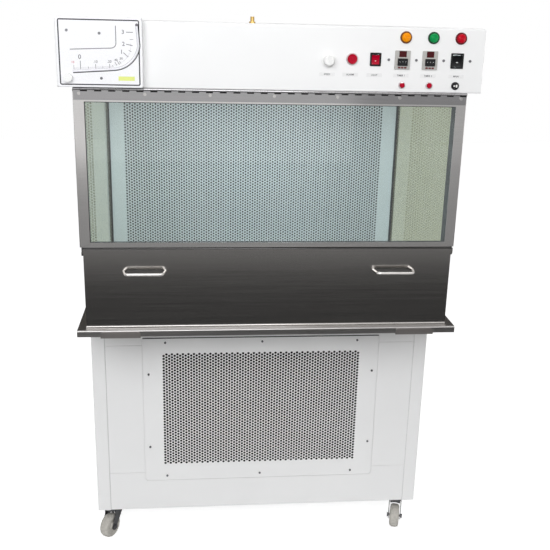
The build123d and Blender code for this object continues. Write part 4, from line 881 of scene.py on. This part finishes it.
class BENCH_OT_intake_panel(Operator):
    """Perforated intake panel with its screw holes"""

    bl_idname = "bench.intake_panel"
    bl_label = "Intake Panel"

    def execute(self, context):
        settings = context.scene.bench_perforation
        low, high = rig.box("intake_panel")
        middle_x = (low.x + high.x) / 2
        middle_z = (low.z + high.z) / 2
        top = high.z - INTAKE_TOP_GAP
        outline = rounded_outline((low.x, low.z), (high.x, top), 9 * MM)
        holes = [
            circle_outline(middle_x + x * MM, middle_z + z * MM, 2.8 * MM)
            for x, z in INTAKE_SCREWS
        ]
        field = (
            (middle_x, middle_z + 3 * MM),
            settings.intake_columns,
            settings.intake_rows,
            settings.intake_hole,
        )
        panel = perforated_sheet("intake_plate", outline, holes, field, low.y, INTAKE_SHEET)
        keep_piece(panel, "enamel", "enamel", replaces=["intake_panel"])

        # painted shadow: a black strip in the gap above the panel's top edge, standing in for the shadow in that gap
        shade_strip_low = (low.x - 0.5 * MM, low.y + 0.5 * MM, top + 0.2 * MM)
        shade_strip_high = (high.x + 0.5 * MM, high.y, top + 2.6 * MM)
        block_piece("intake_seal", [(shade_strip_low, shade_strip_high)], "black_rubber", "seal_rubber")

        rail_low, rail_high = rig.box("cabinet_top_rail")
        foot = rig.box("cabinet_side_left")[0].z
        seams = [
            (
                (x - SEAM, rail_low.y + SEAM, foot),
                (x + SEAM, rail_low.y + 1.6 * MM, rail_high.z),
            )
            for x in (rail_low.x - SEAM, rail_high.x + SEAM)
        ]
        block_piece("cabinet_seam_sealant", seams, "sealant", "enamel")
        return {"FINISHED"}


WINDOW_STILE = 27 * MM
WINDOW_TOP_RAIL = 30 * MM
BEAD_WIDTH = 1.6 * MM
BEAD_DEPTH = 0.6 * MM


class BENCH_OT_glazing_bead(Operator):
    """Dark bead between the window's glass and its frame, along the opening's top and left edges only: a real bead,
    and painted shade standing in for the shade on those edges.
    """

    bl_idname = "bench.glazing_bead"
    bl_label = "Glazing Bead"

    def execute(self, context):
        low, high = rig.box("window_frame")
        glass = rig.box("window_glass")[0]
        left = low.x + WINDOW_STILE
        right = high.x - WINDOW_STILE
        top = high.z - WINDOW_TOP_RAIL
        front = glass.y - BEAD_DEPTH
        bars = (
            ((left, front, top - BEAD_WIDTH), (right, glass.y, top)),
            ((left, front, glass.z), (left + BEAD_WIDTH, glass.y, top - BEAD_WIDTH)),
        )
        block_piece("glazing_bead", bars, "black_rubber", "seal_rubber", "window")
        return {"FINISHED"}


class BENCH_OT_diffuser_plate(Operator):
    """Perforated plate at the back of the chamber, in two halves"""

    bl_idname = "bench.diffuser_plate"
    bl_label = "Diffuser Plate"

    def execute(self, context):
        settings = context.scene.bench_perforation
        low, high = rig.box("diffuser_plate")
        step = settings.pitch * math.sqrt(3) / 2
        middle_z = (low.z + high.z) / 2
        # the two halves share a zigzag of cell sides that runs between these places
        seam_x = settings.pitch / math.sqrt(3) / 4
        seam_rise = (settings.diffuser_rows - 0.5) / 2 * settings.pitch
        seam = ((seam_x, middle_z + seam_rise), (-seam_x, middle_z - seam_rise))
        for side, edge_x in (("left", low.x), ("right", high.x)):
            outline = [(seam_x, high.z), (edge_x, high.z), (edge_x, low.z), (-seam_x, low.z)]
            field_x = math.copysign(settings.diffuser_columns / 2 * step, edge_x)
            field = (
                (field_x, middle_z),
                settings.diffuser_columns,
                settings.diffuser_rows,
                settings.diffuser_hole,
            )
            name = f"diffuser_plate_{side}"
            half = perforated_sheet(name, outline, [], field, low.y, high.y - low.y, seam)
            keep_piece(half, "chamber_enamel", "enamel", replaces=["diffuser_plate"])
        return {"FINISHED"}


# ------------------------------------------------------------------ finishes


class BENCH_OT_finishes(Operator):
    """Paint, steel, glass, rubber and plastic for the bench's solids"""

    bl_idname = "bench.finishes"
    bl_label = "Finishes"

    def execute(self, context):
        for finish, nodes in SOLIDS.items():
            for node in nodes:
                solid = frame["nodes"][node]
                solid.data.materials.clear()
                solid.data.materials.append(material(finish))
        return {"FINISHED"}


CASTER_X = 462 * MM
CASTER_TRAIL = 30 * MM
CROWN_THICKNESS = 3 * MM
LIP_HALF_WIDTH = 17.5 * MM
LIP_TRAIL = 28 * MM


class BENCH_OT_caster_lips(Operator):
    """Turned down lips of the casters' crowns, arched over their wheels"""

    bl_idname = "bench.caster_lips"
    bl_label = "Caster Lips"

    def execute(self, context):
        for place, turn in CASTER_TURNS.items():
            x = -CASTER_X if place.endswith("left") else CASTER_X
            crown_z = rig.box(f"caster_fork_{place}")[1].z - CROWN_THICKNESS
            low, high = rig.box(f"caster_wheel_{place}")
            angle = math.radians(turn)
            swivel_y = (low.y + high.y) / 2 + CASTER_TRAIL * math.cos(angle)
            arch = [(2 * k * MM, high.z + (10 - 0.05 * k * k) * MM) for k in range(-8, 9)]
            outline = [(-LIP_HALF_WIDTH, crown_z), *arch, (LIP_HALF_WIDTH, crown_z)]
            builder = bmesh.new()
            face = builder.faces.new([builder.verts.new((u, -LIP_TRAIL, z)) for u, z in outline])
            face.normal_update()
            if face.normal.y > 0:
                face.normal_flip()
            lip = object_from(builder, f"caster_lip_{place}")
            thicken(lip, 2 * MM)
            turned = Matrix.Rotation(angle, 4, "Z")
            lip.data.transform(Matrix.Translation((x, swivel_y, 0)) @ turned)
            keep_piece(lip, "fork_steel", "caster_zinc", f"caster_{place}")
        return {"FINISHED"}


# ------------------------------------------------------------------ controls


def ring_profile(outer, well, front):
    """Half section of a bezel, in millimetres before the fascia."""
    section = [
        (well, -1.0),
        (well, front + 0.6),
        (well + 0.6, front),
        (outer - 1.6, front),
        (outer - 0.4, front + 0.9),
        (outer, front + 2.2),
        (outer, 0),
    ]
    return [(radius * MM, depth * MM) for radius, depth in section]


def turned_piece(name, x, z, profile, finish, slot, replaces=()):
    """A piece turned about an axis that stands out from the fascia."""
    builder = bmesh.new()
    add_lathe(builder, Vector((x * MM, FASCIA_Y, z)), profile)
    made = object_from(builder, name)
    shade_smooth(made)
    return keep_piece(made, finish, slot, replaces=replaces)


LAMPS = (("amber", 329), ("green", 400), ("red", 471))
LAMP_RING = (15, 11.3, -4)
# name, x, height, outer and well radius and front, finish
RINGS = (
    *[(f"{colour}_ring", x, LAMP_ROW_Z, LAMP_RING, f"{colour}_ring") for colour, x in LAMPS],
    ("alarm_ring", 194, CONTROL_ROW_Z, (15, 12.4, -5), "pale_ring"),
    ("reset_ring_left", 325.5, BUTTON_ROW_Z, (9, 6.6, -4), "pale_ring"),
    ("reset_ring_right", 396.5, BUTTON_ROW_Z, (9, 6.6, -4), "pale_ring"),
    ("lock_ring", 465, BUTTON_ROW_Z, (10, 7.4, -5), "black_plastic"),
)
# name, x, width and height
SURROUNDS = (("light", 254, 28, 33), ("main", 465, 33, 38))
SURROUND_RIM = 4


def box_outline(x, z, width, height, radius):
    """A rounded outline about a middle, its width and height in millimetres."""
    low = ((x - width / 2) * MM, z - height / 2 * MM)
    high = ((x + width / 2) * MM, z + height / 2 * MM)
    return rounded_outline(low, high, radius * MM)


class BENCH_OT_pilot_lamps(Operator):
    """Three pilot lamps: ribbed lens in a dark ring"""

    bl_idname = "bench.pilot_lamps"
    bl_label = "Pilot Lamps"

    def execute(self, context):
        dome = [(11.2, -1.0), (11.1, -6.6), (10.4, -8.6), (9.4, -9.4)]
        for ridge in range(4):
            radius = 8.8 - ridge * 2.0
            dome += [(radius, -10.0 - ridge * 0.3), (radius - 1.1, -10.6 - ridge * 0.35)]
        dome.append((0.0, -12.0))
        profile = [(radius * MM, depth * MM) for radius, depth in dome]
        for colour, x in LAMPS:
            lens = f"{colour}_lens"
            turned_piece(lens, x, LAMP_ROW_Z, profile, lens, "lamp_plastic", ["pilot_lamps"])
        return {"FINISHED"}


class BENCH_OT_bezels(Operator):
    """Rings and surrounds of the lamps, buttons, lock and switches"""

    bl_idname = "bench.bezels"
    bl_label = "Bezels"

    def execute(self, context):
        swap = ["control_bezels"]
        for name, x, z, sizes, finish in RINGS:
            turned_piece(name, x, z, ring_profile(*sizes), finish, "bezel_plastic", swap)
        for name, x, width, height in SURROUNDS:
            builder = bmesh.new()
            inner = (width - 2 * SURROUND_RIM, height - 2 * SURROUND_RIM, 0.5)
            edges = []
            for outline in ((width, height, 2), inner):
                points = box_outline(x, CONTROL_ROW_Z, *outline)
                edges += closed_loop(builder, points, FASCIA_Y - 2.5 * MM)
            bmesh.ops.triangle_fill(builder, edges=edges, use_beauty=True, normal=(0, -1, 0))
            surround = faced_front(object_from(builder, f"{name}_switch_surround"))
            thicken(surround, 12 * MM)
            keep_piece(surround, "black_plastic", "bezel_plastic", replaces=swap)
        return {"FINISHED"}


def printed_text(name, words, x, z, y, height, finish, slot="bezel_plastic"):
    """Flat lettering about a middle, facing the user."""
    curve = bpy.data.curves.new(name, "FONT")
    curve.body = words
    curve.size = height
    curve.align_x = "CENTER"
    curve.align_y = "CENTER"
    curve.resolution_u = 3
    curve.offset = height * 0.012
    flat = bpy.data.objects.new(name, curve)
    bpy.context.scene.collection.objects.link(flat)
    bpy.context.view_layer.update()
    mesh = bpy.data.meshes.new_from_object(flat)
    mesh.name = name
    bpy.data.objects.remove(flat)
    mesh.transform(Matrix.Translation((x, y, z)) @ Matrix.Rotation(math.pi / 2, 4, "X"))
    made = bpy.data.objects.new(name, mesh)
    bpy.context.scene.collection.objects.link(made)
    return keep_piece(made, finish, slot)


class BENCH_OT_key_face(Operator):
    """Silver key plate and slot of the lock"""

    bl_idname = "bench.key_face"
    bl_label = "Key Face"

    def execute(self, context):
        low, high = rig.box("key_plug")
        middle_x = (low.x + high.x) / 2
        middle_z = (low.z + high.z) / 2
        blocks = [
            (
                (middle_x + left * MM, low.y - 0.3 * MM, middle_z - half * MM),
                (middle_x + right * MM, low.y, middle_z + half * MM),
            )
            for left, right, half in ((0.9, 5.0, 3.4), (-5.0, -0.9, 1.6))
        ]
        block_piece("key_face", blocks, "key_silver", "key_chrome", "key_plug")
        return {"FINISHED"}


def front_of(node, x, z):
    """Where the node's surface lies behind a place that the user sees."""
    start = Vector((x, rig.box(node)[0].y - 10 * MM, z))
    found, place, _, _ = frame["nodes"][node].ray_cast(start, Vector((0, 1, 0)))
    if not found:
        raise RuntimeError(f"{node} has no surface at {x}, {z}")
    return place.y


MARK_WIDTH = 1.8 * MM


class BENCH_OT_switch_marks(Operator):
    """White dashes on the two rocker keys"""

    bl_idname = "bench.switch_marks"
    bl_label = "Switch Marks"

    def execute(self, context):
        for node, length in (("light_rocker", 2.4), ("main_rocker", 5.0)):
            low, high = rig.box(node)
            middle_x = (low.x + high.x) / 2
            mark_z = (low.z + high.z) / 2 - 3 * MM
            places = (mark_z - MARK_WIDTH / 2, mark_z + MARK_WIDTH / 2)
            y = min(front_of(node, middle_x, z) for z in places) - 0.1 * MM
            ends = [(middle_x + side * length / 2 * MM, mark_z) for side in (-1, 1)]
            dash = [(ends, MARK_WIDTH)]
            printed_lines(f"{node}_mark", dash, y, "label_paper", "knob_plastic", node)
        return {"FINISHED"}


LABELS = (
    ("SPEED", 132),
    ("ALARM", 191),
    ("LIGHT", 253),
    ("TIMER 1", 322),
    ("TIMER 2", 392.5),
    ("MAIN", 466),
)
# half the width and height of a label, in millimetres
LABEL_HALF = (20, 4.5)


class BENCH_OT_labels(Operator):
    """Small paper labels under the controls"""

    bl_idname = "bench.labels"
    bl_label = "Labels"

    def execute(self, context):
        half_x, half_z = LABEL_HALF
        for words, x in LABELS:
            tag = words.lower().replace(" ", "_")
            low = ((x - half_x) * MM, FASCIA_Y - 0.3 * MM, LABEL_ROW_Z - half_z * MM)
            high = ((x + half_x) * MM, FASCIA_Y, LABEL_ROW_Z + half_z * MM)
            block_piece(f"label_{tag}", [(low, high)], "label_paper", "knob_plastic")
            y = FASCIA_Y - 0.35 * MM
            printed_text(f"label_text_{tag}", words, x * MM, LABEL_ROW_Z, y, 6 * MM, "ink")
        return {"FINISHED"}


def on_timer(x, low, high):
    """A block before a timer: x, depth before the fascia and height above the control row."""
    corners = []
    for across, depth, above in (low, high):
        corners.append(((x + across) * MM, FASCIA_Y - depth * MM, CONTROL_ROW_Z + above * MM))
    return tuple(corners)


class BENCH_OT_timers(Operator):
    """Display windows, setting wheels and digits of the two timers"""

    bl_idname = "bench.timers"
    bl_label = "Timers"

    def execute(self, context):
        for side, x in (("left", 323), ("right", 394)):
            slot = "timer_plastic"
            window = on_timer(x, (-9.5, 4.3, 7.0), (9.5, 3.4, 22.0))
            block_piece(f"timer_window_{side}", [window], "red_window", slot)
            setter = on_timer(x, (-13, 7.6, -14.0), (13, 5.0, 4.0))
            block_piece(f"timer_setter_{side}", [setter], "black_plastic", slot, edge=0.6 * MM)
            for digit in range(3):
                name = f"timer_digit_{side}_{digit}"
                digit_x = (x - 7.5 + digit * 7.5) * MM
                digit_z = CONTROL_ROW_Z - 4.5 * MM
                y = FASCIA_Y - 7.75 * MM
                printed_text(name, "0", digit_x, digit_z, y, 3.2 * MM, "label_paper", slot)
            keys = [on_timer(x, (k, 5.2, -20.5), (k + 6, 3.8, -17.0)) for k in (-11, -3, 5)]
            block_piece(f"timer_keys_{side}", keys, "red_ring", slot)
        return {"FINISHED"}


# ------------------------------------------------------------------ manometer


def arc_points(center, radius, start, end, steps):
    points = []
    for step in range(steps + 1):
        angle = math.radians(start + (end - start) * step / steps)
        points.append((center[0] + radius * math.cos(angle), center[1] + radius * math.sin(angle)))
    return points


def on_face(x, above):
    """A place on the manometer: x, and millimetres above the header's lower edge."""
    return (x * MM, HEADER_Z + above * MM)


TUBE_START = on_face(-492, 39.4)
TUBE_BEND = on_face(-393, 46.2)
TUBE_TURN = on_face(-334, 101.5)
TUBE_END = on_face(-337.5, 150)


def tube_outline(offset, steps=20):
    """The indicating tube's path, moved outwards by the offset."""
    spots = (TUBE_START, TUBE_BEND, TUBE_TURN, TUBE_END)
    start, bend, turn, end = (Vector(spot) for spot in spots)
    along = (bend - start).normalized()
    inwards = Vector((-along.y, along.x))
    reach = turn - bend
    radius = reach.length_squared / (2 * reach.dot(inwards))
    center = bend + inwards * radius
    low = math.atan2(bend.y - center.y, bend.x - center.x)
    high = math.atan2(turn.y - center.y, turn.x - center.x)
    path = [start - inwards * offset]
    for step in range(steps + 1):
        angle = low + (high - low) * step / steps
        path.append(center + Vector((math.cos(angle), math.sin(angle))) * (radius + offset))
    upright = (end - turn).normalized()
    path.append(end + Vector((upright.y, -upright.x)) * offset)
    return path


# upright graduations: x, foot above the header's lower edge, height, width of line
LEVEL_TICKS = (
    (-489.5, 45, 9, 0.8),
    (-473.6, 45, 19, 1.3),
    (-455, 46, 5, 0.8),
    (-437.6, 47, 10, 1.2),
    (-420.6, 48, 5, 0.8),
    (-404.2, 49, 9, 1.2),
)
# graduations round the bend: outer end and inner end
BEND_TICKS = (
    ((-395.5, 51.5), (-398.5, 55.5), 0.9),
    ((-387.0, 54.8), (-391.5, 62.5), 1.1),
    ((-380.5, 56.5), (-386.5, 67.0), 1.1),
    ((-376.8, 59.3), (-381.0, 65.5), 1.1),
    ((-359.0, 75.0), (-370.5, 85.0), 1.6),
    ((-351.0, 87.0), (-358.0, 91.0), 1.1),
    ((-348.0, 101.6), (-363.5, 105.0), 1.6),
    ((-346.5, 116.0), (-354.5, 116.0), 1.1),
    ((-346.5, 132.5), (-362.5, 132.5), 1.6),
)
# figure, x, height above the header's lower edge, letter height, ink
SCALE_FIGURES = (
    ("10", -491.5, 60.5, 7.5, "red_ink"),
    ("0", -474.8, 73.0, 15.0, "grey_ink"),
    (".10", -437.6, 62.5, 8.5, "grey_ink"),
    (".20", -404.6, 63.5, 8.5, "grey_ink"),
    (".40", -389.5, 67.5, 7.5, "grey_ink"),
    (".50", -377.0, 71.0, 7.5, "grey_ink"),
    ("1", -375.0, 86.5, 13.5, "grey_ink"),
    ("2", -370.0, 105.0, 13.5, "grey_ink"),
    ("3", -370.5, 132.5, 13.5, "grey_ink"),
)


FINE_LINE = 0.5 * MM


class BENCH_OT_manometer_face(Operator):
    """Border, scale, figures and label on the manometer's face"""

    bl_idname = "bench.manometer_face"
    bl_label = "Manometer Face"

    def execute(self, context):
        y = FACE_Y - 0.15 * MM
        border = rounded_outline(on_face(-522.6, 8.6), on_face(-332.8, 159.6), 3 * MM, 3)
        printed_lines("manometer_border", [([*border, *border[:2]], 3.0 * MM)], y, "ink")

        turn = arc_points(on_face(-399.5, 107.0), 11.9 * MM, -88, 0, 10)
        well = [on_face(-497, 90.6), *turn, on_face(-387.6, 147)]
        printed_lines("manometer_well_line", [(well, 1.9 * MM)], y, "grey_ink")

        edge = [(tube_outline(3.4 * MM), 2.5 * MM)]
        printed_lines("manometer_tube_edge", edge, y, "ink")
        plug = [(3.2, 0.4), (3.2, -3.4), (2.4, -4.2), (0, -4.2)]
        face_depth = FACE_Y - FASCIA_Y
        turned_piece(
            "manometer_tube_plug",
            TUBE_END[0] / MM,
            TUBE_END[1],
            [(radius * MM, face_depth + depth * MM) for radius, depth in plug],
            "grey_ink",
            "bezel_plastic",
        )
        rim = [(tube_outline(-3.0 * MM), 0.6 * MM)]
        printed_lines("manometer_tube_rim", rim, y, "pale_ink")

        ticks = [
            ([on_face(x, base), on_face(x, base + height)], width * MM)
            for x, base, height, width in LEVEL_TICKS
        ]
        for outer, inner, width in BEND_TICKS:
            ticks.append(([on_face(*outer), on_face(*inner)], width * MM))
        printed_lines("manometer_ticks", ticks, y, "grey_ink")

        fine = []
        for step in range(46):
            share = step / 46
            x, base = -488 + share * 92, 45.2 + share * 5.5
            fine.append(([on_face(x, base), on_face(x, base + 2.6)], FINE_LINE))
        for step in range(26):
            angle = math.radians(-84 + step * 3.6)
            spoke = Vector((math.cos(angle), math.sin(angle)))
            ends = [Vector(on_face(-399.5, 102.5)) + spoke * reach * MM for reach in (45.5, 48.5)]
            fine.append((ends, FINE_LINE))
        printed_lines("manometer_fine_ticks", fine, y, "pale_ink")

        for figure, x, above, height, ink in SCALE_FIGURES:
            name = f"manometer_figure_{figure.strip('.')}_{ink}"
            printed_text(name, figure, *on_face(x, above), y, height * MM, ink)
        (left, bottom), (right, top) = on_face(-384, 19), on_face(-345, 29)
        patch = ((left, FACE_Y - 0.2 * MM, bottom), (right, FACE_Y, top))
        block_piece("manometer_patch", [patch], "yellow_label", "manometer_plastic")
        return {"FINISHED"}


# ------------------------------------------------------------------ studio


def area_lamp(name, place, target, size, power, colour):
    light = bpy.data.lights.new(name, "AREA")
    light.shape = "RECTANGLE"
    light.size, light.size_y = size
    light.energy = power
    light.color = colour
    lamp = bpy.data.objects.new(name, light)
    lamp.location = place
    aim = Vector(target) - Vector(place)
    lamp.rotation_euler = aim.to_track_quat("-Z", "Y").to_euler()
    bpy.context.scene.collection.objects.link(lamp)
    return lamp


def stage_sheet(name, low, high, tone, glow=0.0):
    """A flat sheet of the studio, lying or standing, between two corners."""
    builder = bmesh.new()
    if low[2] == high[2]:
        corners = ((low[0], low[1]), (high[0], low[1]), (high[0], high[1]), (low[0], high[1]))
        spots = [(x, y, low[2]) for x, y in corners]
    else:
        corners = ((low[0], low[2]), (low[0], high[2]), (high[0], high[2]), (high[0], low[2]))
        spots = [(x, low[1], z) for x, z in corners]
    builder.faces.new([builder.verts.new(spot) for spot in spots])
    mesh = bpy.data.meshes.new(name)
    builder.to_mesh(mesh)
    builder.free()
    sheet = bpy.data.objects.new(name, mesh)
    bpy.context.scene.collection.objects.link(sheet)
    surface = Surface(name)
    grain = surface.noise(surface.place(), 30.0)
    surface.finish(
        {
            "Base Color": surface.shaded(grain, tone, 0.96, 1.0),
            "Roughness": 0.9,
            "Emission Color": (*tone, 1),
            "Emission Strength": glow,
        }
    )
    sheet.data.materials.append(surface.material)
    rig.stage(sheet)
    return sheet, surface


def shown_white(world):
    """Shows plain white where the camera, a mirror or glass looks straight at the world."""
    graph = Graph(world.node_tree)
    rays = graph.nodes.new("ShaderNodeLightPath").outputs
    seen = graph.math("MAXIMUM", rays["Is Camera Ray"], rays["Is Glossy Ray"])
    seen = graph.math("MAXIMUM", seen, rays["Is Transmission Ray"])
    white = graph.add("ShaderNodeBackground", {"Color": (1, 1, 1, 1), "Strength": 1.0})
    lit = graph.mixed(seen, graph.nodes["Background"].outputs[0], white)
    graph.feed(graph.nodes["World Output"], {"Surface": lit})


def only_mirrored(sheet):
    """Hides a sheet from the camera and from the lamps."""
    sheet.visible_camera = False
    sheet.visible_shadow = False
    return sheet


# how much the floor's own white adds to its lit paper
FLOOR_LIFT = 0.68
# strips of the room's floor behind the camera, which the steel mirrors: near edge, far edge, tone
ROOM_FLOOR = (
    (-1.1, -3.8, 0.03),
    (-3.8, -8.0, 0.90),
)
# the room's far wall: left edge, right edge, tone, glow
ROOM_WALL = (
    (-5.0, 1.7, 0.90, 0.72),
    (1.7, 5.0, 0.60, 0.60),
)


# name, place, target, size, share of the key lamp's power, colour
LAMPS_OF_STUDIO = (
    ("key_lamp", (-0.7, -2.7, 2.4), (0, -0.4, 1.5), (2.4, 1.4), 1.0, (0.98, 0.99, 1.0)),
    ("fill_lamp", (1.5, -3.2, 2.2), (0, -0.4, 0.8), (2.6, 1.2), 0.30, (1.0, 0.99, 0.98)),
    ("low_fill_lamp", (-0.6, -3.6, 0.6), (0, 0, 0.7), (3.4, 0.6), 0.05, (1, 1, 1)),
    ("top_lamp", (0.2, 0.3, 4.0), (0, 0, 1.0), (2.8, 2.4), 0.5, (1, 1, 1)),
    ("chamber_lamp", (0, -0.14, 1.425), (0, -0.05, 0.8), (0.9, 0.2), 0.15, (1, 1, 1)),
)


class BENCH_OT_studio(Operator):
    """Floor, world, lamps and camera"""

    bl_idname = "bench.studio"
    bl_label = "Studio"

    def execute(self, context):
        scene = context.scene
        studio = scene.bench_studio
        _, paper = stage_sheet("studio_floor", (-9, -9, 0), (9, 9, 0), (0.93, 0.93, 0.93))
        seen = paper.nodes.new("ShaderNodeLightPath").outputs["Is Camera Ray"]
        lift = paper.math("MULTIPLY", seen, FLOOR_LIFT)
        paper.finish({"Emission Color": (1, 1, 1, 1), "Emission Strength": lift})
        for number, (near, far, tone) in enumerate(ROOM_FLOOR):
            spread = ((-5, far, 0.004), (5, near, 0.004), (tone, tone, tone))
            only_mirrored(stage_sheet(f"studio_carpet_{number}", *spread)[0])
        for number, (left, right, tone, glow) in enumerate(ROOM_WALL):
            spread = ((left, -8, 0), (right, -8, 2.4), (tone, tone, tone), glow)
            only_mirrored(stage_sheet(f"studio_wall_{number}", *spread)[0])
        for side, left, right in (("left", -3.0, -0.2), ("right", 0.2, 3.5)):
            spread = ((left, 2.6, 0.5), (right, 2.6, 3.4), (0.05, 0.04, 0.03))
            card = only_mirrored(stage_sheet(f"studio_brown_card_{side}", *spread)[0])
            card.visible_diffuse = False
            card.visible_transmission = False

        world = bpy.data.worlds.new("studio_world")
        world.use_nodes = True
        scene.world = world
        room = world.node_tree.nodes["Background"].inputs
        room["Color"].default_value = (1, 1, 1, 1)
        room["Strength"].default_value = studio.room_light
        shown_white(world)

        for name, place, target, size, share, colour in LAMPS_OF_STUDIO:
            area_lamp(name, place, target, size, studio.key_power * share, colour)
        bpy.data.objects["low_fill_lamp"].visible_glossy = False

        camera = bpy.data.cameras.new("studio_camera")
        camera.lens = studio.lens
        camera.sensor_width = 36.0
        view = bpy.data.objects.new("studio_camera", camera)
        turn = Matrix.Rotation(-studio.yaw, 4, "Z")
        tip = Matrix.Rotation(math.pi / 2 - studio.pitch, 4, "X")
        lean = Matrix.Rotation(studio.roll, 4, "Z")
        view.matrix_world = Matrix.Translation(studio.camera_place) @ turn @ tip @ lean
        scene.collection.objects.link(view)
        scene.camera = view
        scene.view_settings.view_transform = "Standard"
        return {"FINISHED"}


# ------------------------------------------------------------------ panel and main


OPERATORS = (
    BENCH_OT_finishes,
    BENCH_OT_intake_panel,
    BENCH_OT_glazing_bead,
    BENCH_OT_diffuser_plate,
    BENCH_OT_caster_lips,
    BENCH_OT_pilot_lamps,
    BENCH_OT_bezels,
    BENCH_OT_key_face,
    BENCH_OT_switch_marks,
    BENCH_OT_labels,
    BENCH_OT_timers,
    BENCH_OT_manometer_face,
    BENCH_OT_studio,
)


class BENCH_PT_sidebar(Panel):
    """Lists the bench's operators and settings"""

    bl_idname = "BENCH_PT_sidebar"
    bl_label = "Flow Bench"
    bl_space_type = "VIEW_3D"
    bl_region_type = "UI"
    bl_category = "Flow Bench"

    def draw(self, context):
        for settings in ("bench_finish", "bench_perforation", "bench_studio"):
            box = self.layout.box()
            group = getattr(context.scene, settings)
            for name in group.__annotations__:
                box.prop(group, name)
        for operator in OPERATORS:
            self.layout.operator(operator.bl_idname)


SETTINGS = {
    "bench_finish": FinishSettings,
    "bench_perforation": PerforationSettings,
    "bench_studio": StudioSettings,
}
CLASSES = (*SETTINGS.values(), *OPERATORS, BENCH_PT_sidebar)


def register():
    for each in CLASSES:
        bpy.utils.register_class(each)
    for name, group in SETTINGS.items():
        setattr(bpy.types.Scene, name, PointerProperty(type=group))


def unregister():
    for name in SETTINGS:
        delattr(bpy.types.Scene, name)
    for each in reversed(CLASSES):
        bpy.utils.unregister_class(each)


def main():
    register()
    bpy.ops.bench.finishes()
    bpy.ops.bench.intake_panel()
    bpy.ops.bench.glazing_bead()
    bpy.ops.bench.diffuser_plate()
    bpy.ops.bench.caster_lips()
    bpy.ops.bench.pilot_lamps()
    bpy.ops.bench.bezels()
    bpy.ops.bench.key_face()
    bpy.ops.bench.switch_marks()
    bpy.ops.bench.labels()
    bpy.ops.bench.timers()
    bpy.ops.bench.manometer_face()
    bpy.ops.bench.studio()
    sizes = {
        "cad": [list(corner) for corner in solid_box],
        "visual": [list(corner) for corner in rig.bounds()],
    }
    with open("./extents.json", "w") as out:
        json.dump(sizes, out)


if __name__ == "__main__":
    main()
